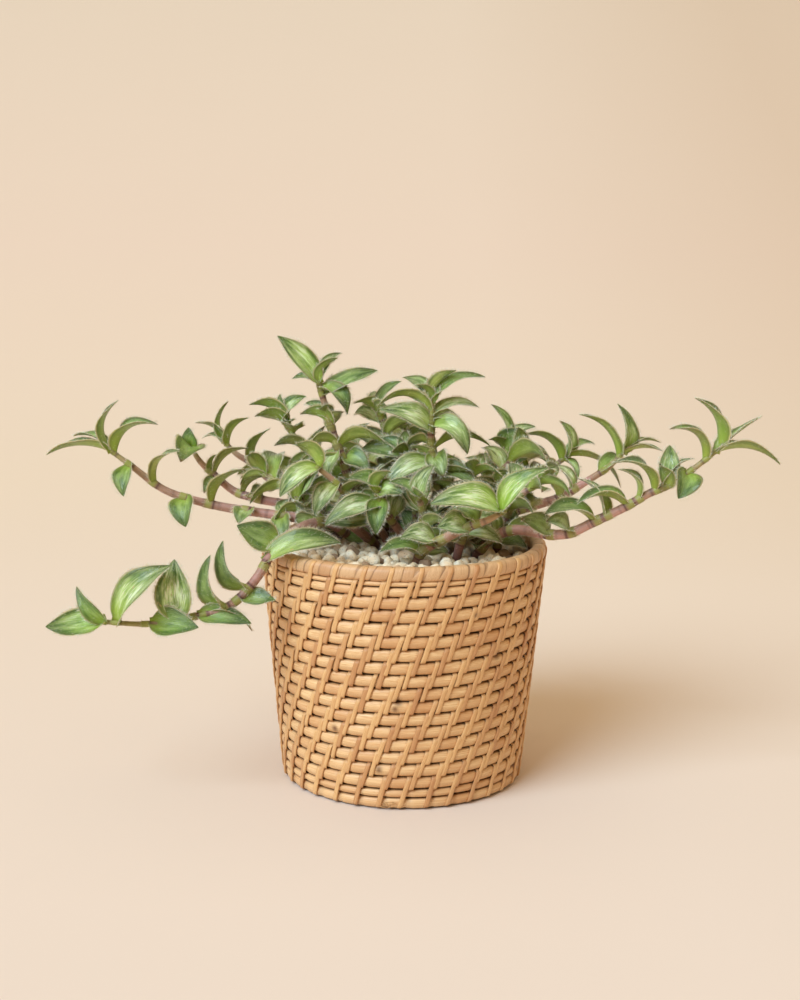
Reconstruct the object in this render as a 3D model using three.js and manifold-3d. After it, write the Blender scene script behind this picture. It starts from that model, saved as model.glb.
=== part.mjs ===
// A fuzzy-leaved tradescantia in a lashed rattan basket pot, in millimetres, +Z up.
// The origin is the centre of the basket's foot, on the surface that it stands on.
// The plant is seen from -Y; +X is to the right.
import * as THREE from 'three';
import { mergeVertices } from 'three/addons/utils/BufferGeometryUtils.js';
import Module from 'manifold-3d';

const wasm = await Module();
wasm.setup();

// ---------- driving dimensions ----------
const GAP = 0.3;                 // clearance between pieces that rest on each other

const BASKET_HEIGHT = 140;
const BASKET_TOP_RADIUS = 83;    // outside of the rim hoop
const BASKET_FOOT_RADIUS = 70.2;
const WALL_THICKNESS = 6.4;
const FLOOR_THICKNESS = 6;
const HOOP_THICKNESS = 8;
const HOOP_ROUNDING = 2;
const ROW_TOP_Z = 132;           // the rods lie in rows between these two heights
const ROW_BOTTOM_Z = 12.1;
const ROD_ROWS = 16;
const FOOT_ROWS = 2;             // two thinner rows below them
const STITCHES_ROUND = 33;       // lashings in each row
const STITCH_DRIFT = 0.31;       // how far each row's lashings move on, in pitches
const ROD_RELIEF = 2.4;          // depth of the grooves between the rods

const LINER_TOP_Z = 129;
const LINER_WALL = 1.6;
const LINER_FLOOR = 2;
const LINER_PLAY = 1;            // the liner stands this far inside the basket wall

const SOIL_TOP_Z = 122;
const PUMICE_TOP_Z = 130;
const CHIP_HEIGHT = 2.2;         // the chips stand up and down by this much
const CHIP_RING = 12;            // distance between the rings of chips
const CHIPS_ROUND = 26;

const STEM_FOOT_Z = 108;         // how deep the stems reach
const STEM_SIDES = 5;
const STEM_TIP_RADIUS = 1.2;
const STEM_TAPER = 2.5;          // a stem keeps its thickness for most of its length
const HOLE_SIDES = 6;

// ---------- leaf shape ----------
// A leaf runs from a point inside the stem to its tip. Between them lie stations: place
// along the midrib, half width and half thickness, and how steeply both halves fold up.
const LEAF_STATIONS = [
  { along: 0.22, halfWidth: 0.92, halfThickness: 0.75, fold: 40 },
  { along: 0.48, halfWidth: 1, halfThickness: 0.7, fold: 34 },
  { along: 0.76, halfWidth: 0.62, halfThickness: 0.55, fold: 32 },
];
// A narrow leaf has two stations.
const NARROW_LEAF = 12.5;
const NARROW_LEAF_STATIONS = [
  { along: 0.3, halfWidth: 1, halfThickness: 0.75, fold: 38 },
  { along: 0.68, halfWidth: 0.76, halfThickness: 0.6, fold: 32 },
];
const LEAF_BOW = 0.18;           // how far a leaf arches, as a share of its length
const ROOT_SINK = 0.12;          // tip leaves start this far below the tip, in path points
const LEAF_CLEARANCE = 0.7;      // room kept round a leaf, each way
const ROOT_SHARE = 0.2;          // a leaf's first stretch, which may lie near its own stem
const INNER_SHARE = 0.42;        // the stretch in which leaves of one stem may meet
const STEM_CLEARANCE = 1.6;      // room kept round a stem for its hairs and sheaths
const TURNS = [0, 10, -10, 20, -20, 32, -32, 46, -46, 62, -62];
const SHORTENINGS = [1, 0.85, 0.7];

// ---------- the stems that the plant shows from the front ----------
// path: where the centre line runs, from the point where it leaves the chips.
// leaves: [place on the path in path points, tip offset x, y, z, width, face, bow]
// face is the way that the upper side looks; by default it looks along the stem and up.
const STEMS = [
  {
    name: 'leafy_stem_left_long', radius: 3,
    path: [[-28, 28, 132], [-44, 14, 146], [-58, 5, 150], [-86, 8, 153], [-113, 10, 157],
      [-140, 10, 165], [-161, 10, 180], [-173, 10, 189]],
    leaves: [
      [7, -38, -3, -2, 12, null, 5],
      [6.95, 4, 2, 30, 14, null, 7],
      [7, -24, 7, 8, 8],
      [6.7, 26, -4, 18, 13, null, 8],
      [5.95, -3, -12, -16, 13, [-5, -8, 4], 3],
      [5.25, 15, -5, 21, 13, null, 7],
      [4.55, 1, -12, -15, 15, [-4, -9, 4], 3],
      [4, 21, -6, 22, 12],
      [3.2, -5, -10, -6, 12, [-3, -8, 6]],
      [2.5, 2, -12, -14, 12, [-3, -8, 4]],
    ],
  },
  {
    name: 'leafy_stem_over_rim_left', radius: 3,
    path: [[-16, 16, 132], [-34, 0, 149], [-52, -14, 151], [-61, -27, 149], [-67, -40, 146.5],
      [-73, -50, 141], [-78, -56, 132], [-84, -60, 124], [-92, -63, 116], [-102, -65, 111],
      [-120, -66, 107], [-140, -67, 104], [-164, -67, 105]],
    leaves: [
      [12, -33, -4, -2, 19, [0, -5, 6], -2],
      [11.9, -17, 3, 19, 9],
      [11.6, 29, -3, 33, 19, [-5, -6, 4]],
      [10.2, -1, 4, 33, 19, [0, -8, 1], 2],
      [10.9, 28, -11, 1, 18, [0, -6, 5], -1],
      [9.6, 30, -4, -3, 14, [0, -5, 5], 1],
      [9.3, 24, 2, -10, 8],
      [8.4, -9, -3, 29, 14, [-6, -5, 0], 7],
      [7, -14, -3, 26, 14, null, 7],
      [7.7, 20, -6, 0, 14, [2, -5, 6], -2],
      [5.6, 41, 9, 10, 16, [-3, -6, 8]],
      [4.5, -22, -5, 12, 16, [1, -6, 3], 0.5],
    ],
  },
  {
    name: 'leafy_stem_left_upper', radius: 2.8,
    path: [[-38, 36, 132], [-51, 30, 146], [-68, 33, 153], [-86, 35, 156], [-103, 40, 160],
      [-116, 42, 170], [-125, 44, 178], [-131, 45, 188]],
    leaves: [
      [7, -1, -2, 12, 10, [0, -6, 2]],
      [6.8, -4, -20, -6, 17, [2, -2, 6]],
      [5, 20, 3, 16, 10],
      [5.1, 3, -3, 12, 6],
      [4.6, -10, -8, -6, 11, [-3, -6, 5]],
      [3.7, 15, -4, 12, 8],
      [3, -6, -14, 6, 11],
    ],
  },
  {
    name: 'leafy_stem_left_back', radius: 2.6,
    path: [[-30, 36, 132], [-40, 42, 146], [-62, 50, 156], [-82, 53, 165], [-94, 55, 175],
      [-104, 56, 181], [-112, 57, 189]],
    leaves: [
      [6, -18, -2, 12, 12],
      [6, 2, 3, 25, 9],
      [6, -14, 6, 2, 8],
      [5.6, 13, -3, 18, 12],
      [3.9, 10, -3, 23, 12],
      [3.5, 12, -10, -5, 10],
      [2.6, -10, 12, 8, 11],
    ],
  },
  {
    name: 'leafy_stem_left_inner', radius: 2.6,
    path: [[-24, 43, 132], [-31, 35, 150], [-42, 36, 170], [-55, 40, 180], [-64, 40, 190],
      [-73, 40, 203]],
    leaves: [
      [5, -22, -3, 12, 13],
      [5, -4, 5, 18, 6],
      [4.9, 12, 2, 17, 12],
      [4.8, 1, -9, 4, 8],
      [4.7, -20, -8, 8, 11],
      [4.4, 3, -11, 8, 12],
      [3.4, -20, -4, 5, 12],
      [3, -15, -8, -5, 9],
      [2.6, -10, -12, -6, 10],
      [2.2, 8, 12, 14, 11],
    ],
  },
  {
    name: 'leafy_stem_upright_left', radius: 2.9,
    path: [[-18, 33, 132], [-27, 18, 155], [-35, 12, 180], [-42, 12, 199], [-48, 12, 220],
      [-51, 12, 230]],
    leaves: [
      [4.85, -24, -2, 28, 15, [4, -7, 3], 2],
      [4.8, 11, -3, 16, 8],
      [4.7, 17, 3, 20, 7],
      [4.1, 32, 6, 15, 13, [-3, -6, 6], 2],
      [4.5, 16, -8, -14, 14, [4, -5, 5], 6],
      [4.9, -16, 5, 2, 6],
      [3.2, -18, -4, 8, 12],
      [3.4, -7, -6, 7, 9],
      [3.3, -18, 6, 10, 8],
      [2.6, 28, -5, 3, 13],
      [3.1, 7, -5, 12, 10],
      [2.7, -17, -7, -2, 11],
      [2.5, -6, -9, -16, 10],
      [2.2, 15, -8, -5, 13],
    ],
  },
  {
    name: 'leafy_stem_upright_centre', radius: 3.2,
    path: [[20, 2, 132], [20, 1, 158], [17, 0, 180], [15, 0, 200], [15, 0, 221]],
    leaves: [
      [4, 14, -2, 20, 11],
      [3.95, 8, 3, 14, 9],
      [3.9, 31, 2, 16, 10],
      [3.95, -17, 6, 15, 11],
      [3.9, -11, -3, 12, 7],
      [3.6, -31, -5, 5, 12, null, 9],
      [3.1, -30, -8, 14, 15, [2, -6, 6]],
      [3.25, 21, -9, -14, 16, [4, -6, 5], 8],
      [2.2, -29, -9, -15, 14, [-2, -6, 7], 7],
      [3.5, 28, 5, 6, 9],
      [3.4, 16, 9, 2, 9],
      [1.9, 25, -7, -5, 13],
      [2.6, 34, 6, 2, 12, null, 7],
      [2.75, -14, 7, -2, 10],
      [2.4, 6, -12, -10, 13],
      [2.2, -12, 6, 10, 8],
    ],
  },
  {
    name: 'leafy_stem_inner_left', radius: 2.4,
    path: [[-8, 10, 132], [-17, -1, 150], [-30, -9, 163], [-40, -12, 175], [-51, -14, 184]],
    leaves: [
      [4, -13, -4, 14, 12],
      [3.8, -22, -8, -15, 14, [-4, -6, 4]],
      [2.8, -13, -9, -16, 12, [-3, -6, 4]],
      [2.3, 10, -6, 8, 9],
      [2.1, -2, -11, -10, 11, [0, -8, 3]],
    ],
  },
  {
    name: 'leafy_stem_inner_front', radius: 2.6,
    path: [[4, 3, 132], [-3, -7, 146], [-12, -16, 160], [-16, -20, 172]],
    leaves: [
      [2, -33, -10, -8, 15, [-2, -5, 7]],
      [2.4, -2, -12, -17, 13, [-1, -8, 3]],
      [3, 8, -4, 12, 11],
      [3, -16, -3, 8, 12],
      [2.7, 14, -8, 2, 12],
    ],
  },
  {
    name: 'leafy_stem_front', radius: 2.9,
    path: [[7, -31, 132], [11, -34, 140], [22, -37, 147], [36, -41, 155], [46, -43, 159],
      [56, -44, 165]],
    leaves: [
      [5, 24, -4, 25, 15, [-4, -5, 4]],
      [4.7, -39, -8, 6, 18, [0, -5, 7], 8],
      [2.8, -15, -8, 2, 15, [-3, -6, 4]],
      [1.6, -19, -6, 4, 13],
      [0.5, -22, -9, 4, 14, [0, -4, 7]],
      [3.2, -10, 5, 8, 12],
      [0.9, 8, -9, 4, 9],
    ],
  },
  {
    name: 'leafy_stem_front_short', radius: 2.6,
    path: [[30, -21, 132], [32, -22, 141], [35, -24, 150], [39, -25, 160]],
    leaves: [
      [1.5, 22, -6, -2, 12, [0, -4, 6]],
      [3, -12, 3, 14, 12],
      [3, 12, -2, 14, 11],
      [2.2, 18, 6, 4, 11],
      [2.6, -14, 2, 2, 11],
    ],
  },
  {
    name: 'leafy_stem_right_long', radius: 3,
    path: [[42, -10, 132], [50, -12, 143], [63, -18, 149], [76, -26, 149], [84, -31, 149],
      [94, -34, 151], [107, -36, 158], [122, -38, 166], [135, -39, 174], [149, -40, 181],
      [160, -40, 189], [172, -40, 199]],
    leaves: [
      [11, -12, 0, 30, 14, null, 7],
      [11, 36, -3, -6, 12, null, 6],
      [11, 26, 3, 20, 9, null, 1],
      [11, 8, 4, 13, 4],
      [10.4, -20, -4, 18, 11, null, 8],
      [9.6, -6, -11, -12, 15, [2, -8, 4]],
      [8.7, 2, 6, 22, 11, [0, -8, 2]],
      [8.6, 16, -3, 16, 9],
      [8.5, -3, -7, 14, 13],
      [8.2, -24, -4, 16, 14, null, 8],
      [7.5, -10, 4, 17, 9, null, 6],
      [7.1, -28, -6, 2, 14, null, 6],
      [6.3, -15, 6, 21, 12],
      [5.9, -28, -6, 5, 14, null, 6],
      [4.8, -13, -7, 8, 12],
      [3.6, -16, -8, 10, 12],
    ],
  },
  {
    name: 'leafy_stem_right_upper', radius: 2.9,
    path: [[40, 14, 132], [48, 14, 146], [62, 15, 153], [80, 18, 158], [93, 20, 162],
      [103, 22, 168], [113, 24, 174], [122, 25, 180], [130, 25, 189]],
    leaves: [
      [8, -4, -2, 30, 14, [5, -5, 2], 5],
      [8, 24, -3, 2, 10, null, 3],
      [8, 25, 5, 5, 7],
      [7.6, -24, -3, 26, 11],
      [6.4, 14, 10, 8, 10],
      [4.6, -12, 10, 14, 11],
      [3.8, -9, -7, 12, 9],
      [2.6, -12, -10, 10, 11],
    ],
  },
  {
    name: 'leafy_stem_right_back', radius: 2.6,
    path: [[34, 34, 132], [42, 38, 146], [58, 43, 156], [74, 46, 164], [88, 49, 173],
      [100, 50, 184]],
    leaves: [
      [5, -5, -2, 22, 12, [6, -4, 2]],
      [4.9, 33, -8, -18, 10, null, 8],
      [5, 18, 5, 7, 8],
      [4.6, -25, -4, 16, 14, null, 7],
      [4.2, -24, -9, 2, 13, null, 7],
      [4.7, 8, -9, -12, 7],
      [3.2, 8, 14, 10, 12],
      [2.2, 16, -10, 2, 11],
    ],
  },
  {
    name: 'leafy_stem_right_inner', radius: 2.6,
    path: [[26, 38, 132], [34, 42, 150], [46, 47, 165], [55, 50, 178], [62, 50, 189]],
    leaves: [
      [4, -9, 2, 26, 9],
      [4, 12, -6, 11, 15, [0, -6, 3]],
      [3.9, 19, 6, 12, 8],
      [3.7, -9, -5, 7, 10],
      [3.2, 18, -9, -8, 13],
      [3, -9, -9, -4, 11],
      [2.2, -10, 12, 12, 11],
    ],
  },
];

// ---------- the shoots that fill the middle and the back ----------
// Their leaves are placed by a rule: [name, foot x, y, tip x, y, z].
const SHOOTS = [
  ['leafy_shoot_centre_left', -6, 26, -16, 22, 212],
  ['leafy_shoot_centre_back', 6, 32, 2, 36, 196],
  ['leafy_shoot_centre', 8, 16, 0, 8, 188],
  ['leafy_shoot_centre_front', 12, -14, 8, -24, 168],
  ['leafy_shoot_centre_right', 32, 2, 40, -4, 178],
  ['leafy_shoot_right_upper', 48, 25, 68, 30, 186],
  ['leafy_shoot_back_left', -10, 44, -30, 64, 182],
  ['leafy_shoot_back', 14, 54, 8, 92, 172],
  ['leafy_shoot_trailing_back', -14, 58, -34, 114, 160],
  ['leafy_shoot_trailing_back_right', 40, 50, 72, 106, 160],
  ['leafy_shoot_trailing_back_left', -42, 42, -88, 90, 162],
  ['leafy_shoot_right', 54, -2, 78, -6, 174],
  ['leafy_shoot_left', -54, 14, -84, 20, 174],
];
const SHOOT_RADIUS = 2.5;
const SHOOT_LEAF_SPACING = 11;
const SHOOT_LEAF_LENGTH = 31;
const SHOOT_LEAF_SPREAD = [0.75, 1.1];   // shortest and longest, as shares of that length
const SHOOT_LEAF_RATIO = 0.44;           // width to length
const SHOOT_BARE = 0.3;                  // share of the shoot below its first leaf
const SHOOT_RANK_TURN = 172;             // degrees from one leaf to the next
const SHOOT_TIP_LEAVES = 3;
const SHOOT_TIP_TURN = 60;               // degrees that each tip leaf turns further
const SHOOT_TURN_SPREAD = 40;
const SHOOT_LEAF_OUT = 0.85;             // a leaf runs out by this for each part along the stem
const SHOOT_LEAF_LEAN = 0.35;
const SHOOT_TIP_LEAN = 0.7;
const SHOOT_TIP_SIZE = 0.7;
// How a shoot rises: shares of its way out and of its height.
const SHOOT_STEPS = [[0, 0], [0.12, 0.4], [0.5, 0.8], [1, 1]];

// ---------- helpers ----------
const vec = (x, y, z) => new THREE.Vector3(x, y, z);
const radians = THREE.MathUtils.degToRad;
const UP = vec(0, 0, 1);

// A repeatable draw from 0 to 1 for a whole number.
function draw(n) {
  const value = Math.sin(n * 12.9898 + 4.1) * 43758.5453;
  return value - Math.floor(value);
}

// A closed body through rings of points; a ring of one point makes a pointed end.
function loft(rings) {
  const positions = [];
  const face = (a, b, c) => positions.push(...a.toArray(), ...b.toArray(), ...c.toArray());
  const first = rings[0];
  const last = rings[rings.length - 1];
  for (let i = 1; i + 1 < first.length; i += 1) {
    face(first[0], first[i + 1], first[i]);
  }
  for (let r = 0; r + 1 < rings.length; r += 1) {
    const a = rings[r];
    const b = rings[r + 1];
    for (let i = 0; i < Math.max(a.length, b.length); i += 1) {
      const j = (i + 1) % Math.max(a.length, b.length);
      if (b.length === 1) {
        face(a[i], a[j], b[0]);
      } else if (a.length === 1) {
        face(a[0], b[j], b[i]);
      } else if (i % 2 === 0) {
        face(a[i], a[j], b[j]);
        face(a[i], b[j], b[i]);
      } else {
        face(a[i], a[j], b[i]);
        face(a[j], b[j], b[i]);
      }
    }
  }
  for (let i = 1; i + 1 < last.length; i += 1) {
    face(last[0], last[i], last[i + 1]);
  }
  const geometry = new THREE.BufferGeometry();
  geometry.setAttribute('position', new THREE.Float32BufferAttribute(positions, 3));
  return geometry;
}

function toSolid(geometry) {
  const bare = geometry.clone();
  bare.deleteAttribute('normal');
  bare.deleteAttribute('uv');
  const merged = mergeVertices(bare, 1e-4);
  return new wasm.Manifold(new wasm.Mesh({
    numProp: 3,
    vertProperties: new Float32Array(merged.attributes.position.array),
    triVerts: new Uint32Array(merged.index.array),
  }));
}

function toGeometry(solid) {
  const mesh = solid.getMesh();
  const geometry = new THREE.BufferGeometry();
  geometry.setAttribute('position', new THREE.BufferAttribute(mesh.vertProperties, 3));
  geometry.setIndex(new THREE.BufferAttribute(mesh.triVerts, 1));
  geometry.computeVertexNormals();
  return geometry;
}

// The body alone, without the walls of any hollow that its pieces shut in.
function wholeBody(solid) {
  return solid.decompose().reduce((a, b) => (a.volume() > b.volume() ? a : b));
}

// Turns a profile of [radius, height] round the Z axis.
function turned(profile, segments) {
  const geometry = new THREE.LatheGeometry(profile.map(([r, z]) => new THREE.Vector2(r, z)), segments);
  geometry.rotateX(Math.PI / 2);
  return geometry;
}

function mesh(name, geometry, color, roughness) {
  const material = new THREE.MeshStandardMaterial({ color, roughness, metalness: 0 });
  const result = new THREE.Mesh(geometry, material);
  result.name = name;
  return result;
}

// ---------- the basket ----------
const basketRadius = (z) => BASKET_FOOT_RADIUS
  + (BASKET_TOP_RADIUS - BASKET_FOOT_RADIUS) * z / BASKET_HEIGHT;

// Heights of the grooves between the rows of rods, from the foot up.
function grooveHeights() {
  const heights = [];
  for (let i = 1; i <= FOOT_ROWS; i += 1) {
    heights.push(ROW_BOTTOM_Z * i / FOOT_ROWS);
  }
  for (let i = 1; i <= ROD_ROWS; i += 1) {
    heights.push(ROW_BOTTOM_Z + (ROW_TOP_Z - ROW_BOTTOM_Z) * i / ROD_ROWS);
  }
  return heights;
}

// The woven cup: a turned wall whose outside is raised into rods. The corners of the grooves
// lie half a pitch from those of the rods, so that each rod bulges between its lashings.
function basket() {
  const outer = [[0, 0], [BASKET_FOOT_RADIUS - ROD_RELIEF, 0]];
  let below = 0;
  for (const z of grooveHeights()) {
    const middle = (below + z) / 2;
    outer.push([basketRadius(middle), middle], [basketRadius(z) - ROD_RELIEF, z]);
    below = z;
  }
  const profile = [
    ...outer,
    [basketRadius(ROW_TOP_Z) - WALL_THICKNESS, ROW_TOP_Z],
    [basketRadius(FLOOR_THICKNESS) - WALL_THICKNESS, FLOOR_THICKNESS],
    [0, FLOOR_THICKNESS],
  ];
  const geometry = turned(profile, STITCHES_ROUND);
  const position = geometry.attributes.position;
  const pitch = Math.PI * 2 / STITCHES_ROUND;
  for (let i = 0; i < position.count; i += 1) {
    const ring = Math.min(i % profile.length, outer.length);
    const stagger = ring % 2 === 0 ? 0 : 0.5;
    const p = vec(position.getX(i), position.getY(i), position.getZ(i));
    p.applyAxisAngle(UP, (ring / 2 * STITCH_DRIFT + stagger) * pitch);
    position.setXYZ(i, p.x, p.y, p.z);
  }
  return mesh('basket', geometry, 0xd9b078, 0.6);
}

// The wrapped hoop that finishes the top edge.
function hoopProfile() {
  const outside = BASKET_TOP_RADIUS;
  const inside = outside - HOOP_THICKNESS;
  const bottom = ROW_TOP_Z + GAP;
  return [
    [inside, bottom], [outside - HOOP_ROUNDING, bottom], [outside, bottom + HOOP_ROUNDING],
    [outside, BASKET_HEIGHT - HOOP_ROUNDING], [outside - HOOP_ROUNDING, BASKET_HEIGHT],
    [inside + HOOP_ROUNDING, BASKET_HEIGHT], [inside, BASKET_HEIGHT - HOOP_ROUNDING],
    [inside, bottom],
  ];
}

function rimHoop() {
  return mesh('rim_hoop', turned(hoopProfile(), STITCHES_ROUND), 0xcda068, 0.55);
}

// ---------- what the basket holds ----------
const linerRadius = (z) => basketRadius(z) - WALL_THICKNESS - LINER_PLAY;

function liner() {
  const bottom = FLOOR_THICKNESS + GAP;
  const floor = bottom + LINER_FLOOR;
  const profile = [
    [0, bottom], [linerRadius(bottom), bottom], [linerRadius(LINER_TOP_Z), LINER_TOP_Z],
    [linerRadius(LINER_TOP_Z) - LINER_WALL, LINER_TOP_Z],
    [linerRadius(floor) - LINER_WALL, floor], [0, floor],
  ];
  return mesh('liner_pot', turned(profile, STITCHES_ROUND), 0x2b2a28, 0.5);
}

const fillRadius = (z) => linerRadius(z) - LINER_WALL - GAP;

// Holes for the feet of all stems, from a bottom height up.
function stemHoles(plants, bottom) {
  return plants.map((plant) => {
    const [x, y] = plant.path[0];
    const radius = (plant.radius + GAP) / Math.cos(Math.PI / HOLE_SIDES);
    const height = BASKET_HEIGHT - bottom;
    const hole = new THREE.CylinderGeometry(radius, radius, height, HOLE_SIDES);
    hole.rotateX(Math.PI / 2);
    hole.translate(x, y, bottom + height / 2);
    return toSolid(hole);
  });
}

function soil(plants) {
  const bottom = FLOOR_THICKNESS + LINER_FLOOR + GAP * 2;
  const profile = [
    [0, bottom], [fillRadius(bottom), bottom], [fillRadius(SOIL_TOP_Z), SOIL_TOP_Z], [0, SOIL_TOP_Z],
  ];
  let solid = toSolid(turned(profile, STITCHES_ROUND));
  for (const hole of stemHoles(plants, STEM_FOOT_Z - GAP)) {
    solid = solid.subtract(hole);
  }
  return mesh('soil', toGeometry(solid), 0x3b2a1e, 0.95);
}

// A bed of pumice chips: a turned disc whose top is raised and lowered chip by chip.
function pumiceSolid(plants) {
  const bottom = SOIL_TOP_Z + GAP;
  const edge = fillRadius(bottom);
  const rings = Math.round(edge / CHIP_RING);
  const profile = [[0, bottom], [edge, bottom]];
  for (let i = rings; i >= 0; i -= 1) {
    profile.push([edge * i / rings, PUMICE_TOP_Z]);
  }
  const geometry = turned(profile, CHIPS_ROUND);
  const position = geometry.attributes.position;
  for (let i = 0; i < position.count; i += 1) {
    const ring = i % profile.length;
    const column = Math.floor(i / profile.length) % CHIPS_ROUND;
    const onTop = ring > 1 && ring < profile.length - 1;
    if (onTop) {
      const lift = (draw(ring * CHIPS_ROUND + column) * 2 - 1) * CHIP_HEIGHT;
      position.setZ(i, position.getZ(i) + lift);
    }
  }
  let solid = toSolid(geometry);
  for (const hole of stemHoles(plants, bottom - GAP)) {
    solid = solid.subtract(hole);
  }
  return solid;
}

// ---------- stems and leaves ----------
function stemCurve(path) {
  return new THREE.CatmullRomCurve3(path.map((p) => vec(...p)), false, 'catmullrom', 0.5);
}

// One leaf: a thin body folded up along its midrib, which arches towards its upper side.
function leafBody(leaf, room) {
  const length = leaf.offset.length();
  const tip = leaf.offset.clone().setLength(length + room);
  const middle = tip.clone().multiplyScalar(0.5).addScaledVector(leaf.face, leaf.bow * 2);
  const midrib = new THREE.QuadraticBezierCurve3(
    leaf.base, leaf.base.clone().add(middle), leaf.base.clone().add(tip),
  );
  const rings = leaf.stations.map((station) => {
    const centre = midrib.getPoint(station.along);
    const along = midrib.getTangent(station.along);
    const normal = leaf.face.clone().addScaledVector(along, -leaf.face.dot(along)).normalize();
    const side = along.clone().cross(normal);
    const half = station.halfWidth * leaf.width / 2 + room;
    const thick = station.halfThickness + room;
    const out = half * Math.cos(radians(station.fold));
    const rise = half * Math.sin(radians(station.fold));
    const edge = (s) => centre.clone().addScaledVector(side, s * out).addScaledVector(normal, rise);
    return [
      centre.clone().addScaledVector(normal, thick), edge(1),
      centre.clone().addScaledVector(normal, -thick), edge(-1),
    ];
  });
  return toSolid(loft([[midrib.getPoint(0)], ...rings, [midrib.getPoint(1)]]));
}

// The same leaf without its root, with room round it, to test that it crosses nothing.
function leafRoom(leaf, start) {
  const trimmed = { ...leaf };
  trimmed.base = leaf.base.clone().addScaledVector(leaf.offset, start);
  trimmed.base.addScaledVector(leaf.face, leaf.bow * 4 * start * (1 - start));
  trimmed.offset = leaf.offset.clone().multiplyScalar(1 - start);
  trimmed.offset.addScaledVector(leaf.face, -leaf.bow * 4 * start * (1 - start));
  trimmed.bow = leaf.bow * (1 - start) ** 2;
  return leafBody(trimmed, LEAF_CLEARANCE);
}

// A stem with a ring at each of its path points and one at its foot in the soil.
function stemBody(plant, room) {
  const [x, y] = plant.path[0];
  const curve = stemCurve(plant.path);
  const last = plant.path.length - 1;
  let side = vec(1, 0, 0);
  const ring = (centre, along, radius) => {
    side = side.clone().addScaledVector(along, -side.dot(along)).normalize();
    const other = along.clone().cross(side);
    return Array.from({ length: STEM_SIDES }, (_, i) => {
      const angle = Math.PI * 2 * i / STEM_SIDES;
      return centre.clone().addScaledVector(side, radius * Math.cos(angle))
        .addScaledVector(other, radius * Math.sin(angle));
    });
  };
  const rings = [ring(vec(x, y, STEM_FOOT_Z), UP, plant.radius + room)];
  for (let i = 0; i <= last; i += 1) {
    const radius = THREE.MathUtils.lerp(plant.radius, STEM_TIP_RADIUS, (i / last) ** STEM_TAPER);
    const along = i === 0 ? UP : curve.getTangent(i / last);
    rings.push(ring(curve.getPoint(i / last), along, radius + room));
  }
  return toSolid(loft(rings));
}

// The leaf that a table row stands for, turned round the stem and shortened.
function makeLeaf(plant, row, turn, share) {
  const [at, x, y, z, width, face, bow] = row;
  const curve = stemCurve(plant.path);
  const last = plant.path.length - 1;
  const place = Math.min(at, last - ROOT_SINK) / last;
  const along = curve.getTangent(place);
  const turnOf = (v) => v.applyAxisAngle(along, radians(turn));
  const offset = turnOf(vec(x, y, z)).multiplyScalar(share);
  const chord = offset.clone().normalize();
  const look = face ? turnOf(vec(...face)) : along.clone().add(UP);
  look.addScaledVector(chord, -look.dot(chord)).normalize();
  return {
    stations: width < NARROW_LEAF ? NARROW_LEAF_STATIONS : LEAF_STATIONS,
    base: curve.getPoint(place),
    offset,
    face: look,
    width: width * share,
    bow: (bow ?? LEAF_BOW * vec(x, y, z).length()) * share,
  };
}

// Shoot leaves: in two slowly turning ranks along the stem, and a few at the tip.
function shootPlant([name, x, y, tipX, tipY, tipZ], index) {
  const { lerp } = THREE.MathUtils;
  const start = PUMICE_TOP_Z + CHIP_HEIGHT;
  const path = SHOOT_STEPS.map(([out, rise]) => (
    [lerp(x, tipX, out), lerp(y, tipY, out), lerp(start, tipZ, rise)]));
  const curve = stemCurve(path);
  const ranked = Math.round(curve.getLength() / SHOOT_LEAF_SPACING) - 1;
  const leaves = [];
  for (let i = 0; i < ranked + SHOOT_TIP_LEAVES; i += 1) {
    const atTip = i >= ranked;
    const share = Math.min(1, SHOOT_BARE + (1 - SHOOT_BARE) * i / ranked);
    const along = curve.getTangent(share);
    const seed = index * 100 + i;
    const angle = radians(draw(index) * 360 + i * SHOOT_RANK_TURN + draw(seed) * SHOOT_TURN_SPREAD
      + (atTip ? i * SHOOT_TIP_TURN : 0));
    const side = vec(Math.cos(angle), Math.sin(angle), 0);
    side.addScaledVector(along, -side.dot(along)).normalize();
    const length = SHOOT_LEAF_LENGTH * lerp(...SHOOT_LEAF_SPREAD, draw(seed + 50))
      * (atTip ? SHOOT_TIP_SIZE : 1);
    const offset = side.multiplyScalar(SHOOT_LEAF_OUT)
      .addScaledVector(along, atTip ? SHOOT_TIP_LEAN : SHOOT_LEAF_LEAN).setLength(length);
    leaves.push([share * (path.length - 1), ...offset.toArray(), length * SHOOT_LEAF_RATIO]);
  }
  return { name, radius: SHOOT_RADIUS, path, leaves };
}

// ---------- assembly ----------
const plants = [...STEMS, ...SHOOTS.map(shootPlant)];
const pumice = pumiceSolid(plants);
const obstacles = [pumice, toSolid(turned(hoopProfile(), STITCHES_ROUND))];
const stemSolids = plants.map((plant) => stemBody(plant, 0));
const stemRooms = plants.map((plant) => stemBody(plant, STEM_CLEARANCE));
const placed = [];

const meets = (a, b) => !a.intersect(b).isEmpty();

// Leaves of one stem may meet near their roots; those of other stems stay clear all along.
function crosses(rooms, plantIndex) {
  if (obstacles.some((body) => meets(rooms.all, body))) {
    return true;
  }
  if (stemRooms.some((body, i) => i !== plantIndex && meets(rooms.all, body))) {
    return true;
  }
  return placed.some((other) => (other.plantIndex === plantIndex
    ? meets(rooms.outer, other.rooms.outer)
    : meets(rooms.all, other.rooms.all)));
}

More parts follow.
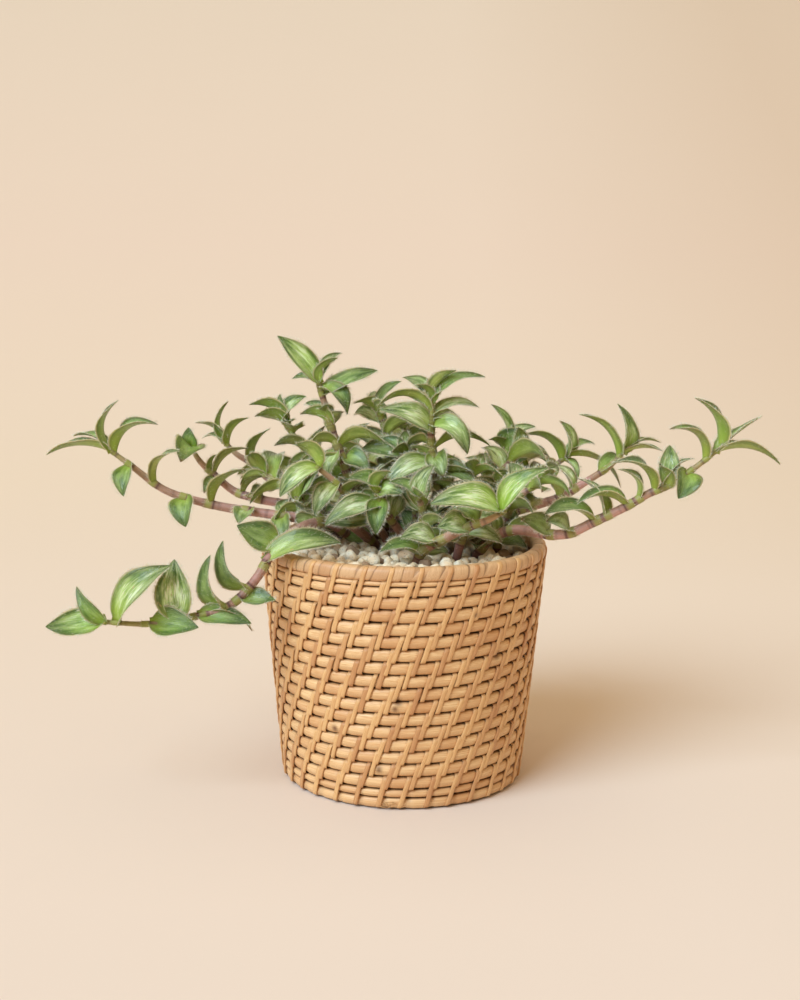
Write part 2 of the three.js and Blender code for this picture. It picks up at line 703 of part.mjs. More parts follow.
// Every leaf takes the first turn and length at which it has room; one with none is left out.
function placeLeaves(plant, plantIndex) {
  let solid = stemSolids[plantIndex];
  for (const row of plant.leaves) {
    const tries = SHORTENINGS.flatMap((share) => TURNS.map((turn) => [turn, share]));
    for (const [turn, share] of tries) {
      const leaf = makeLeaf(plant, row, turn, share);
      const rooms = { all: leafRoom(leaf, ROOT_SHARE), outer: leafRoom(leaf, INNER_SHARE) };
      if (!crosses(rooms, plantIndex)) {
        placed.push({ rooms, plantIndex });
        solid = solid.add(leafBody(leaf, 0));
        break;
      }
    }
  }
  return wholeBody(solid);
}

const tradescantia = new THREE.Group();
tradescantia.add(basket(), rimHoop(), liner(), soil(plants));
tradescantia.add(mesh('pumice_topping', toGeometry(pumice), 0xe2d6c2, 0.9));
plants.forEach((plant, index) => {
  const solid = placeLeaves(plant, index);
  tradescantia.add(mesh(plant.name, toGeometry(solid), 0x5f8a3a, 0.6));
});

export default tradescantia;
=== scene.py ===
# A fuzzy-leaved tradescantia in a lashed rattan basket pot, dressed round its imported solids.
# Tables and sizes are in millimetres, as in the solids; MM turns them into Blender's metres.
import math

import bmesh
import bpy
import numpy as np
from mathutils import Matrix, Vector


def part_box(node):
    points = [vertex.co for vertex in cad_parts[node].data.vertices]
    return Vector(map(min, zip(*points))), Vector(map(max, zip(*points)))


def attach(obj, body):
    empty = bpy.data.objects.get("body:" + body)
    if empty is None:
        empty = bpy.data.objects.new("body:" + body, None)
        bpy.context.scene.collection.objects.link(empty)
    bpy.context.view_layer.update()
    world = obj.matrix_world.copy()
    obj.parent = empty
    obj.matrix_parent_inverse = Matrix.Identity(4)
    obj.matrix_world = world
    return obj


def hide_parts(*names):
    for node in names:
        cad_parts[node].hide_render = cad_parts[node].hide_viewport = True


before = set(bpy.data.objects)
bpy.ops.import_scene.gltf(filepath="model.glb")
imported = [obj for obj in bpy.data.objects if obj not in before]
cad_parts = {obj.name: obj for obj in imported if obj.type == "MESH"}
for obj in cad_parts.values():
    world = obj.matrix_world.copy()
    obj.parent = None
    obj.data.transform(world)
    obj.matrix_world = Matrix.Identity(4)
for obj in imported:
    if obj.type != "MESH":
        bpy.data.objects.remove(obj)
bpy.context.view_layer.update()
MM = 0.001

# ----- camera, measured for a picture of 800 by 1000 -----
CAMERA_PLACE = (0, -861, 308)
# How far it looks down and to the right, and how far its right side is raised.
CAMERA_PITCH, CAMERA_YAW, CAMERA_ROLL = math.radians(9.58), -0.003, 0.01
CAMERA_LENS, CAMERA_SENSOR = 54, 36

# ----- lights: where each comes from, how wide, how strong, colour -----
KEY_LIGHT = ((-0.51, -0.58, 0.64), math.radians(38), 3.15, (0.66, 0.83, 1))
TOP_LIGHT = ((0, 0.1, 1), math.radians(75), 0.68, (1, 0.77, 0.5))
WORLD_COLOUR, WORLD_STRENGTH = (1, 0.77, 0.5, 1), 0.4

# ----- backdrop -----
PAPER_HALF = 9000  # half its width, and how far it reaches to the front
PAPER_FLAT, PAPER_BEND = 600, 6000  # flat to this far behind the axis, then bent by this radius

# ----- basket -----
BASKET_HEIGHT, BASKET_TOP_RADIUS, BASKET_FOOT_RADIUS = 140, 83, 70.2
ROW_EDGES = [132, 123.4] + [123.4 - 7.42 * row for row in range(1, 16)]
FOOT_EDGES = [12.1, 7, 0.4]
FILLER_HEIGHT = 2.9  # a thin rod lies above the first row
FILLER_SINK, FOOT_SINK = 0.3, 0.2  # how far it and the foot rows lie in
ROD_DEPTH = 6.2
ROD_GAP = 0.18  # half of the gap between two rods
ROD_PINCH = 0.4  # how far its lashings press a rod in
ROD_STEPS = 16  # points round a rod, and along each stretch between two lashings
STITCHES_ROUND = 33
PITCH = 2 * math.pi / STITCHES_ROUND
STITCH_PHASE = math.radians(-82.8)  # where one lashing crosses the rim
STITCH_DRIFT = 0.33  # each row's lashings move on by this share of a pitch
STITCH_LEAN = 5.4  # how far a lashing leans sideways over its two rows
STITCH_WIDTH, STITCH_THICKNESS = 2.9, 1.1
STITCH_TUCK = 0.9  # how far a lashing's ends run under the next rods
STITCH_DIP = 3  # how deep its ends dive in
STITCH_OUT = 0.3  # how far its middle stands out from the wall
RIM_STITCH = 1.2  # the highest lashings start this far below the top
TIE_OFFSET = 0.004  # where a row is tied, past the start of its own lashings
KNOTS = [(-91.8, 64, 2.2), (-93, 60, 1.6), (-48, 86, 2.4), (-100, 24, 1.8), (-61, 112, 1.4),
         (-120, 45, 1.8), (20, 70, 2.2), (110, 50, 2.0), (170, 95, 2.2)]  # angle, height, size
FRAY_ANGLE, FRAY_FIBRES = math.radians(-96), 18
HOOP_THICKNESS = 8
WRAPS_ROUND = 66
EACH_WRAP = (WRAPS_ROUND, 1, 1)  # one draw for each wrap
# Along one wrap of the hoop: shares of its width, and how far it stands out there.
WRAP_SHARES = np.array([0, 0.08, 0.2, 0.4, 0.6, 0.8, 0.9, 0.96])
WRAP_RELIEF = np.array([-0.16, 0.02, 0.08, 0.1, 0.1, 0.08, 0.03, -0.1])
COIL_STEP = 7.2  # from ring to ring of the coiled base
COIL_DEPTH, COIL_OUT = 2.7, 2.5  # half the depth of its rods, and how far down they reach
COIL_PITCH = 13  # from lashing to lashing along a ring of the base
COIL_DRIFT = 0.37  # angle by which each ring's lashings move on
COIL_LEAN = 1

# ----- what the basket holds -----
FILL_RADIUS = 73
WALL_TO_SOIL = 9.4  # from the basket's outside in to the soil, at the bottom
SOIL_TOP_Z, SOIL_RINGS = 122, 24
CHIP_LAYERS = [(124.6, 8.8, 0.93), (131.2, 8.8, 0)]  # height of the centres, spacing, least shade; the lower layer's chips are all dark, as painted shade in the gaps
CHIP_RADII = (3.5, 4.9)
CHIP_ROW = 0.87  # from row to row, as a share of the spacing
CHIP_COLUMNS = 14  # to either side; more than the fill has room for
CHIP_CUTS = 9  # flats cut off each chip
CHIP_EDGE = 3.4  # chips stay this far inside the liner
CHIP_CLEAR = 4.6  # and this far from the middle of a stem

# ----- stems and leaves, placed as in the solids -----
PUMICE_TOP_Z = 130
CHIP_HEIGHT = 2.2
STEM_FOOT_Z = 108
STEM_TIP_RADIUS, STEM_TAPER = 1.2, 2.5
LEAF_BOW = 0.18
ROOT_SINK = 0.12
# Degrees about the stem, and shares of its length, by which a leaf finds room.
TURNS = [0, 10, -10, 20, -20, 32, -32, 46, -46, 62, -62]
SHORTENINGS = [1, 0.85, 0.7]
TIP_MATCH = 0.3  # a leaf's tip lies this near to a corner of its solid

# ----- finer forms of the plant -----
ROLL_LIMIT = math.radians(30)
ROLL_END, ROLL_FADE = 125, 40  # no roll beyond this distance from the pot's axis
INNER_START, INNER_SPACING = 4, 5.5  # along the stem
INNER_REACH = 0.6  # share of the stem's points that inner leaves may reach
INNER_LENGTH = (17, 27)
INNER_RATIO, INNER_BOW = 0.44, 3
INNER_FRONT, INNER_EDGE = -30, 78  # their tips stay behind this y and within this radius
INNER_LOW, INNER_HIGH = 134, 182
OPEN_CHIPS = (4, 24, 150)  # no inner leaf left of this x, before this y and below this z
DIVERGENCE = 137  # degrees from one inner leaf to the next
STATIONS = np.array([0, 0.05, 0.1, 0.16, 0.22, 0.3, 0.38, 0.47, 0.56, 0.66, 0.75, 0.83, 0.9, 0.95,
                     0.985, 1])
ACROSS = np.array([-1, -0.86, -0.6, -0.3, 0, 0.3, 0.6, 0.86, 1])
WIDENING = 1.2  # the fine blades run out past the solids' corners
HAIR_SPACING, HAIR_RADIUS = 0.22, 0.085
EDGE_HAIR, SURFACE_HAIR, STEM_HAIR, FRINGE_HAIR = (1, 3), (0.8, 2), (0.8, 1.8), (1.2, 2.6)
SURFACE_HAIRS = 0.34  # on each square millimetre of a leaf's box
BLADE_TWIST, BLADE_FOLD = 22, (22, 38)  # degrees
ROOT_FOLD = 26  # degrees more at the root
WAVE = 0.1  # of the edges, as a share of the half width
BLADE_THICKNESS, EDGE_THINNING, KEEL = 0.34, 0.16, 0.3
YOUNG = 0.72  # leaves past this share of the stem are limer
STEM_SIDES = 12
STEM_STEP = 0.9  # from ring to ring of a stem's points
JOINT_SWELL, SHEATH_WALL = 0.07, 0.32
STEM_HAIRS = 2.2  # on each millimetre of a stem
SHEATH = 4.8  # a leaf's sheath clasps the stem for this far
FRINGE_PLACE = 4.6  # and carries a fringe here
PAINTED_FOOT_SHADE = 13  # how far up a stem the painted shade at its foot fades
JOINT_STEP = 9.5  # from ring to ring along a bare stem
FRINGE = 16  # hairs round the end of each sheath
PALE = 0.15  # how pale a stem is, where its row gives no other value
UNLISTED = -1  # number of a leaf whose looks no table gives
PLANT_SEED = 1000  # each stem and shoot draws from the next seed
UP = np.array([0, 0, 1.0])

# ----- the stems that the plant shows from the front -----
# path: the centre line. leaves: [place on the path, tip offset x, y, z, width, face, bow].
# extra: a leaf that only shows here. pale: how pale the stem is, from 0 to 1.
# lime: how lime a leaf is, from 0 to 1, by its number in the list.
# shades: how its colours lie: silvery, with painted glints and highlights, from 0.08 to 0.13; plain deep
# green near 0.
STEMS = {
    "left_long": {"radius": 3, "shades": {4: 0.06, 6: 0.03},
        "path": [[-28, 28, 132], [-44, 14, 146], [-58, 5, 150], [-86, 8, 153], [-113, 10, 157],
            [-140, 10, 165], [-161, 10, 180], [-173, 10, 189]],
        "leaves": [[7, -38, -3, -2, 12, None, 5], [6.95, 4, 2, 30, 14, None, 7], [7, -24, 7, 8, 8],
            [6.7, 26, -4, 18, 13, None, 8], [5.95, -3, -12, -16, 13, [-5, -8, 4], 3],
            [5.25, 15, -5, 21, 13, None, 7], [4.55, 1, -12, -15, 15, [-4, -9, 4], 3], [4, 21, -6, 22, 12],
            [3.2, -5, -10, -6, 12, [-3, -8, 6]], [2.5, 2, -12, -14, 12, [-3, -8, 4]]]},
    "over_rim_left": {"radius": 3, "lime": {0: 0.75, 1: 0.5, 2: 0.45, 4: 0.35},
        "shades": {0: 0.07, 2: 0.12, 3: 0.13, 4: 0.03, 5: 0.02, 7: 0.01, 8: 0.01, 9: 0.02, 10: 0.07,
            11: 0.04},
        "path": [[-16, 16, 132], [-34, 0, 149], [-52, -14, 151], [-61, -27, 149], [-67, -40, 146.5],
            [-73, -50, 141], [-78, -56, 132], [-84, -60, 124], [-92, -63, 116], [-102, -65, 111],
            [-120, -66, 107], [-140, -67, 104], [-164, -67, 105]],
        "leaves": [[12, -33, -4, -2, 19, [0, -5, 6], -2], [11.9, -17, 3, 19, 9],
            [11.6, 29, -3, 33, 19, [-5, -6, 4]], [10.2, -1, 4, 33, 19, [0, -8, 1], 2],
            [10.9, 28, -11, 1, 18, [0, -6, 5], -1], [9.6, 30, -4, -3, 14, [0, -5, 5], 1],
            [9.3, 24, 2, -10, 8], [8.4, -9, -3, 29, 14, [-6, -5, 0], 7], [7, -14, -3, 26, 14, None, 7],
            [7.7, 20, -6, 0, 14, [2, -5, 6], -2], [5.6, 41, 9, 10, 16, [-3, -6, 8]],
            [4.5, -22, -5, 12, 16, [1, -6, 3], 0.5]]},
    "left_upper": {"radius": 2.8,
        "path": [[-38, 36, 132], [-51, 30, 146], [-68, 33, 153], [-86, 35, 156], [-103, 40, 160],
            [-116, 42, 170], [-125, 44, 178], [-131, 45, 188]],
        "leaves": [[7, -1, -2, 12, 10, [0, -6, 2]], [6.8, -4, -20, -6, 17, [2, -2, 6]], [5, 20, 3, 16, 10],
            [5.1, 3, -3, 12, 6], [4.6, -10, -8, -6, 11, [-3, -6, 5]], [3.7, 15, -4, 12, 8],
            [3, -6, -14, 6, 11]]},
    "left_back": {"radius": 2.6,
        "path": [[-30, 36, 132], [-40, 42, 146], [-62, 50, 156], [-82, 53, 165], [-94, 55, 175],
            [-104, 56, 181], [-112, 57, 189]],
        "leaves": [[6, -18, -2, 12, 12], [6, 2, 3, 25, 9], [6, -14, 6, 2, 8], [5.6, 13, -3, 18, 12],
            [3.9, 10, -3, 23, 12], [3.5, 12, -10, -5, 10], [2.6, -10, 12, 8, 11]]},
    "left_inner": {"radius": 2.6,
        "path": [[-24, 43, 132], [-31, 35, 150], [-42, 36, 170], [-55, 40, 180], [-64, 40, 190],
            [-73, 40, 203]],
        "leaves": [[5, -22, -3, 12, 13], [5, -4, 5, 18, 6], [4.9, 12, 2, 17, 12], [4.8, 1, -9, 4, 8],
            [4.7, -20, -8, 8, 11], [4.4, 3, -11, 8, 12], [3.4, -20, -4, 5, 12], [3, -15, -8, -5, 9],
            [2.6, -10, -12, -6, 10], [2.2, 8, 12, 14, 11]]},
    "upright_left": {"radius": 2.9, "lime": {0: 0.9, 6: 0.75, 3: 0.3},
        "shades": {0: 0.1, 3: 0.06, 4: 0.02, 9: 0.08, 13: 0.04},
        "path": [[-18, 33, 132], [-27, 18, 155], [-35, 12, 180], [-42, 12, 199], [-48, 12, 220],
            [-51, 12, 230]],
        "leaves": [[4.85, -24, -2, 28, 15, [4, -7, 3], 2], [4.8, 11, -3, 16, 8], [4.7, 17, 3, 20, 7],
            [4.1, 32, 6, 15, 13, [-3, -6, 6], 2], [4.5, 16, -8, -14, 14, [4, -5, 5], 6], [4.9, -16, 5, 2, 6],
            [3.2, -18, -4, 8, 12], [3.4, -7, -6, 7, 9], [3.3, -18, 6, 10, 8], [2.6, 28, -5, 3, 13],
            [3.1, 7, -5, 12, 10], [2.7, -17, -7, -2, 11], [2.5, -6, -9, -16, 10], [2.2, 15, -8, -5, 13]]},
    "upright_centre": {"radius": 3.2, "pale": 0.4, "lime": {6: 0.35, 7: 0.45, 1: 0.4},
        "shades": {0: 0.1, 5: 0.12, 6: 0.13, 7: 0.08, 8: 0.13, 12: 0.02},
        "path": [[20, 2, 132], [20, 1, 158], [17, 0, 180], [15, 0, 200], [15, 0, 221]],
        "leaves": [[4, 14, -2, 20, 11], [3.95, 8, 3, 14, 9], [3.9, 31, 2, 16, 10], [3.95, -17, 6, 15, 11],
            [3.9, -11, -3, 12, 7], [3.6, -31, -5, 5, 12, None, 9], [3.1, -30, -8, 14, 15, [2, -6, 6]],
            [3.25, 21, -9, -14, 16, [4, -6, 5], 8], [2.2, -29, -9, -15, 14, [-2, -6, 7], 7],
            [3.5, 28, 5, 6, 9], [3.4, 16, 9, 2, 9], [1.9, 25, -7, -5, 13], [2.6, 34, 6, 2, 12, None, 7],
            [2.75, -14, 7, -2, 10], [2.4, 6, -12, -10, 13], [2.2, -12, 6, 10, 8]]},
    "inner_left": {"radius": 2.4, "shades": {1: 0.13, 2: 0.12, 4: 0.01},
        "path": [[-8, 10, 132], [-17, -1, 150], [-30, -9, 163], [-40, -12, 175], [-51, -14, 184]],
        "leaves": [[4, -13, -4, 14, 12], [3.8, -22, -8, -15, 14, [-4, -6, 4]],
            [2.8, -13, -9, -16, 12, [-3, -6, 4]], [2.3, 10, -6, 8, 9], [2.1, -2, -11, -10, 11, [0, -8, 3]]]},
    "inner_front": {"radius": 2.6, "shades": {0: 0.12, 1: 0.02},
        "extra": [[1.7, -37, 4, -5, 16, [0, -6, 4], 2]],
        "path": [[4, 3, 132], [-3, -7, 146], [-12, -16, 160], [-16, -20, 172]],
        "leaves": [[2, -33, -10, -8, 15, [-2, -5, 7]], [2.4, -2, -12, -17, 13, [-1, -8, 3]],
            [3, 8, -4, 12, 11], [3, -16, -3, 8, 12], [2.7, 14, -8, 2, 12]]},
    "front": {"radius": 2.9, "pale": 0.8, "lime": {0: 1.0, 1: 0.8, 5: 0.5},
        "shades": {0: 0.12, 1: 0.13, 2: 0.13, 3: 0.13, 4: 0.0},
        "path": [[7, -31, 132], [11, -34, 140], [22, -37, 147], [36, -41, 155], [46, -43, 159],
            [56, -44, 165]],
        "leaves": [[5, 24, -4, 25, 15, [-4, -5, 4]], [4.7, -39, -8, 6, 18, [0, -5, 7], 8],
            [2.8, -15, -8, 2, 15, [-3, -6, 4]], [1.6, -19, -6, 4, 13], [0.5, -22, -9, 4, 14, [0, -4, 7]],
            [3.2, -10, 5, 8, 12], [0.9, 8, -9, 4, 9]]},
    "front_short": {"radius": 2.6,
        "path": [[30, -21, 132], [32, -22, 141], [35, -24, 150], [39, -25, 160]],
        "leaves": [[1.5, 22, -6, -2, 12, [0, -4, 6]], [3, -12, 3, 14, 12], [3, 12, -2, 14, 11],
            [2.2, 18, 6, 4, 11], [2.6, -14, 2, 2, 11]]},
    "right_long": {"radius": 3, "pale": 0.3, "shades": {0: 0.04, 5: 0.0, 9: 0.02, 11: 0.02, 13: 0.04},
        "path": [[42, -10, 132], [50, -12, 143], [63, -18, 149], [76, -26, 149], [84, -31, 149],
            [94, -34, 151], [107, -36, 158], [122, -38, 166], [135, -39, 174], [149, -40, 181],
            [160, -40, 189], [172, -40, 199]],
        "leaves": [[11, -12, 0, 30, 14, None, 7], [11, 36, -3, -6, 12, None, 6], [11, 26, 3, 20, 9, None, 1],
            [11, 8, 4, 13, 4], [10.4, -20, -4, 18, 11, None, 8], [9.6, -6, -11, -12, 15, [2, -8, 4]],
            [8.7, 2, 6, 22, 11, [0, -8, 2]], [8.6, 16, -3, 16, 9], [8.5, -3, -7, 14, 13],
            [8.2, -24, -4, 16, 14, None, 8], [7.5, -10, 4, 17, 9, None, 6], [7.1, -28, -6, 2, 14, None, 6],
            [6.3, -15, 6, 21, 12], [5.9, -28, -6, 5, 14, None, 6], [4.8, -13, -7, 8, 12],
            [3.6, -16, -8, 10, 12]]},
    "right_upper": {"radius": 2.9,
        "path": [[40, 14, 132], [48, 14, 146], [62, 15, 153], [80, 18, 158], [93, 20, 162], [103, 22, 168],
            [113, 24, 174], [122, 25, 180], [130, 25, 189]],
        "leaves": [[8, -4, -2, 30, 14, [5, -5, 2], 5], [8, 24, -3, 2, 10, None, 3], [8, 25, 5, 5, 7],
            [7.6, -24, -3, 26, 11], [6.4, 14, 10, 8, 10], [4.6, -12, 10, 14, 11], [3.8, -9, -7, 12, 9],
            [2.6, -12, -10, 10, 11]]},
    "right_back": {"radius": 2.6,
        "path": [[34, 34, 132], [42, 38, 146], [58, 43, 156], [74, 46, 164], [88, 49, 173], [100, 50, 184]],
        "leaves": [[5, -5, -2, 22, 12, [6, -4, 2]], [4.9, 33, -8, -18, 10, None, 8], [5, 18, 5, 7, 8],
            [4.6, -25, -4, 16, 14, None, 7], [4.2, -24, -9, 2, 13, None, 7], [4.7, 8, -9, -12, 7],
            [3.2, 8, 14, 10, 12], [2.2, 16, -10, 2, 11]]},
    "right_inner": {"radius": 2.6,
        "path": [[26, 38, 132], [34, 42, 150], [46, 47, 165], [55, 50, 178], [62, 50, 189]],
        "leaves": [[4, -9, 2, 26, 9], [4, 12, -6, 11, 15, [0, -6, 3]], [3.9, 19, 6, 12, 8],
            [3.7, -9, -5, 7, 10], [3.2, 18, -9, -8, 13], [3, -9, -9, -4, 11], [2.2, -10, 12, 12, 11]]},
}

# ----- the shoots: foot x, y, tip x, y, z -----
SHOOTS = {
    "centre_left": (-6, 26, -16, 22, 212),
    "centre_back": (6, 32, 2, 36, 196),
    "centre": (8, 16, 0, 8, 188),
    "centre_front": (12, -14, 8, -24, 168),
    "centre_right": (32, 2, 40, -4, 178),
    "right_upper": (48, 25, 68, 30, 186),
    "back_left": (-10, 44, -30, 64, 182),
    "back": (14, 54, 8, 92, 172),
    "trailing_back": (-14, 58, -34, 114, 160),
    "trailing_back_right": (40, 50, 72, 106, 160),
    "trailing_back_left": (-42, 42, -88, 90, 162),
    "right": (54, -2, 78, -6, 174),
    "left": (-54, 14, -84, 20, 174),
}
SHOOT_RADIUS = 2.5
SHOOT_LEAF_SPACING = 11
SHOOT_LEAF_LENGTH = 31
SHOOT_LEAF_SPREAD = [0.75, 1.1]  # shortest and longest, as shares of that length
SHOOT_LEAF_RATIO = 0.44  # width to length
SHOOT_BARE = 0.3  # share of the shoot below its first leaf
SHOOT_RANK_TURN = 172  # degrees from one leaf to the next
SHOOT_TIP_LEAVES = 3
SHOOT_TIP_TURN = 60  # degrees that each tip leaf turns further
SHOOT_TURN_SPREAD = 40
SHOOT_LEAF_OUT = 0.85  # a leaf runs out by this for each part along the stem
SHOOT_LEAF_LEAN = 0.35
SHOOT_TIP_LEAN = 0.7
SHOOT_TIP_SIZE = 0.7
# How a shoot rises: shares of its way out and of its height.
SHOOT_STEPS = [[0, 0], [0.12, 0.4], [0.5, 0.8], [1, 1]]


# ----- curves, as the solids' source works them out -----
def unit(vectors):
    return vectors / np.linalg.norm(vectors, axis=-1, keepdims=True)


def square_to(axis, vector):
    """The direction nearest to a vector that is square to an axis."""
    return unit(vector - vector.dot(axis) * axis)


def even_angles(count, start=0):
    """Angles that share a full turn, the first at this share of a step."""
    return (np.arange(count) + start) * 2 * math.pi / count


def peak(offset, width, power=2):
    """1 at no offset, and falling away over this width."""
    return np.exp(-((offset / width) ** power))


def draw(n):
    """A repeatable draw from 0 to 1 for a whole number."""
    value = math.sin(n * 12.9898 + 4.1) * 43758.5453
    return value - math.floor(value)


def distances(points):
    """How far each point of a line lies along it."""
    return np.concatenate([[0], np.cumsum(np.linalg.norm(np.diff(points, axis=0), axis=1))])


class Curve:
    """A smooth curve through points; its parameter counts the points."""

    def __init__(self, path):
        path = np.array(path, float)
        first, last = 2 * path[0] - path[1], 2 * path[-1] - path[-2]
        self.points = np.vstack([first, path, last])
        self.last = len(path) - 1

    def at(self, place):
        place = np.clip(np.atleast_1d(np.asarray(place, float)), 0, self.last)
        step = np.minimum(place.astype(int), self.last - 1)
        t = (place - step)[:, None]
        p0, p1, p2, p3 = (self.points[step + k] for k in range(4))
        v1, v2 = (p2 - p0) / 2, (p3 - p1) / 2
        return ((2 * t**3 - 3 * t**2 + 1) * p1 + (t**3 - 2 * t**2 + t) * v1
                + (3 * t**2 - 2 * t**3) * p2 + (t**3 - t**2) * v2)

    def along(self, place):
        delta = 1e-4 * self.last
        place = np.atleast_1d(np.asarray(place, float))
        before, after = np.maximum(place - delta, 0), np.minimum(place + delta, self.last)
        return unit(self.at(after) - self.at(before))

    def length(self):
        return distances(self.at(np.linspace(0, self.last, 201)))[-1]


# ----- meshes -----
def new_object(name, data):
    made = bpy.data.objects.new(name, data)
    bpy.context.scene.collection.objects.link(made)
    return made


class Shape:
    """Gathers points, faces and values per point, and makes one piece of them."""

    def __init__(self, *names):
        self.names = names
        self.points, self.faces, self.values = [], [], []
        self.count = 0

    def add(self, points, faces, material=0, **values):
        """Each value is a number, or spreads over the grid of the points."""
        table = np.zeros((*points.shape[:-1], len(self.names)))
        for name, value in values.items():
            table[..., self.names.index(name)] = value
        count = points[..., 0].size
        self.points.append(points.reshape(count, 3))
        self.values.append(table.reshape(count, len(self.names)))
        self.faces.append((faces + self.count, material))
        self.count += count

    def mesh(self, name, materials):
        mesh = bpy.data.meshes.new(name)
        loops = np.concatenate([faces.ravel() for faces, _ in self.faces])
        sizes = np.concatenate([np.full(len(faces), faces.shape[1]) for faces, _ in self.faces])
        kinds = np.concatenate([np.full(len(faces), material) for faces, material in self.faces])
        mesh.vertices.add(self.count)
        mesh.loops.add(len(loops))
        mesh.polygons.add(len(sizes))
        mesh.vertices.foreach_set("co", (np.vstack(self.points) * MM).ravel())
        mesh.loops.foreach_set("vertex_index", loops.astype(np.int32))
        mesh.polygons.foreach_set("loop_start", (np.cumsum(sizes) - sizes).astype(np.int32))
        mesh.polygons.foreach_set("material_index", kinds.astype(np.int32))
        mesh.polygons.foreach_set("use_smooth", np.ones(len(sizes), bool))
        mesh.update(calc_edges=True)
        for value_name, column in zip(self.names, np.vstack(self.values).T):
            attribute = mesh.attributes.new(value_name, "FLOAT", "POINT")
            attribute.data.foreach_set("value", column.astype(np.float32))
        for material in materials:
            mesh.materials.append(material)
        return mesh

    def make(self, name, materials, slot, node):
        piece = new_object(name, self.mesh(name, materials))
        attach(piece, "root")
        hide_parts(node)


def grid_faces(rows, columns, round_rows=False, round_columns=False):
    """The squares of a grid of points, closed round in either direction if asked."""
    a = np.arange(rows if round_rows else rows - 1)[:, None]
    b = np.arange(columns if round_columns else columns - 1)[None, :]
    a2, b2 = (a + 1) % rows, (b + 1) % columns
    corners = [a * columns + b, a * columns + b2, a2 * columns + b2, a2 * columns + b]
    return np.stack([c.ravel() for c in corners], axis=1)


def outward(points, faces):
    """The four-cornered faces, turned over if they look inward."""
    p = points.reshape(-1, 3)
    a, b, c, d = ((p - p.mean(axis=0))[faces[:, k]] for k in range(4))
    volume = np.einsum("ij,ij->", a, np.cross(b, c)) + np.einsum("ij,ij->", a, np.cross(c, d))
    return faces if volume > 0 else faces[:, ::-1]


def ring_faces(points):
    """A grid of points that is closed round in both directions."""
    return outward(points, grid_faces(*points.shape[:2], True, True))


def tube_faces(points):
    """A closed tube through rings of an even number of points, with both ends capped."""
    rings, size = points.shape[:2]
    j = np.arange(size // 2 - 1)
    cap = np.stack([j, size - 1 - j, size - 2 - j, j + 1], axis=1)
    ends = np.vstack([cap, (rings - 1) * size + cap[:, ::-1]])
    return outward(points, np.vstack([grid_faces(rings, size, False, True), ends])[:, ::-1])


# ----- materials -----
def tone(red, green, blue):
    """A colour given as it looks on screen, 0 to 255."""
    return (*[((c / 255 + 0.055) / 1.055) ** 2.4 if c > 10 else c / 3295 for c in (red, green, blue)], 1)


class Finish:
    """One material and short calls that build its nodes. A colour is a socket, or three screen
    values from 0 to 255."""

    def __init__(self, name, roughness, **settings):
        self.material = bpy.data.materials.new(name)
        self.material.use_nodes = True
        self.tree = self.material.node_tree
        self.shader = self.tree.nodes["Principled BSDF"]
        self.body = None
        self.shader.inputs["Roughness"].default_value = roughness
        for socket, value in settings.items():
            self.shader.inputs[socket.replace("_", " ")].default_value = value

    def join(self, socket, source):
        if hasattr(source, "is_output"):
            self.tree.links.new(source, socket)
        elif source is not None:
            socket.default_value = source

    def add(self, kind, *sources, output=0, **settings):
        node = self.tree.nodes.new(kind)
        for key, value in settings.items():
            setattr(node, key, value)
        for socket, source in zip(node.inputs, sources):
            self.join(socket, source)
        return node.outputs[output]

    def value(self, name):
        return self.add("ShaderNodeAttribute", output=2, attribute_name=name)

    def place(self):
        return self.add("ShaderNodeTexCoord", output=3)

    def math(self, operation, a, b=0):
        return self.add("ShaderNodeMath", a, b, operation=operation)

    def times(self, a, b):
        return self.math("MULTIPLY", a, b)

    def vector(self, x, y, z):
        return self.add("ShaderNodeCombineXYZ", x, y, z)

    def noise(self, vector, scale, detail=3, roughness=0.55):
        return self.add("ShaderNodeTexNoise", vector, None, scale, detail, roughness)

    def band(self, value, low, high, out_low=0, out_high=1):
        """value from low..high to out_low..out_high, held at both ends."""
        return self.add("ShaderNodeMapRange", value, low, high, out_low, out_high)

    def mix(self, share, a, b):
        node = self.tree.nodes.new("ShaderNodeMix")
        node.data_type = "RGBA"
        for index, source in ((0, share), (6, a), (7, b)):
            self.join(node.inputs[index], tone(*source) if isinstance(source, tuple) else source)
        return node.outputs[2]

    def paint(self, share, colour):
        """Lay a colour over the body."""
        self.body = self.mix(share, self.body, colour)

    def stain(self, value, low, high, most, colour):
        """Lay a colour over the body, from none where value is low to most where it is high."""
        self.paint(self.band(value, low, high, 0, most), colour)

    def bump(self, height, depth, strength):
        """Relief of this depth in millimetres."""
        node = self.tree.nodes.new("ShaderNodeBump")
        node.inputs["Strength"].default_value = strength
        node.inputs["Distance"].default_value = depth * MM
        self.join(node.inputs["Height"], height)
        self.join(self.shader.inputs["Normal"], node.outputs[0])

    def done(self):
        self.join(self.shader.inputs["Base Color"], self.body)
        return self.material


def rattan_finish(name, dark, pale, brown):
    """Peeled cane with fine lengthwise grain, browner on some strands, with painted shade where it lies
    deep.
    """
    finish = Finish(name, 0.44, Coat_Weight=0.15, Coat_Roughness=0.35)
    times, stain, shade = finish.times, finish.stain, finish.value("shade")
    grain = finish.vector(times(finish.value("run"), 0.035), times(finish.value("round"), 3.4),
                          times(shade, 40))
    fine, broad = finish.noise(grain, 3.6, 5, 0.7), finish.noise(finish.place(), 42, 2)
    finish.body = finish.mix(finish.band(fine, 0.3, 0.62), dark, pale)
    stain(shade, 0.5, 1, 0.6, brown)
    stain(broad, 0.5, 0.75, 0.3, brown)
    # painted shade: the deep value darkens grooves, the rods' lower sides and tucked-in ends, along with the
    # cane's own knots and bruises
    finish.paint(finish.value("deep"), (100, 51, 18))
    finish.bump(fine, 0.25, 0.7)
    return finish.done()


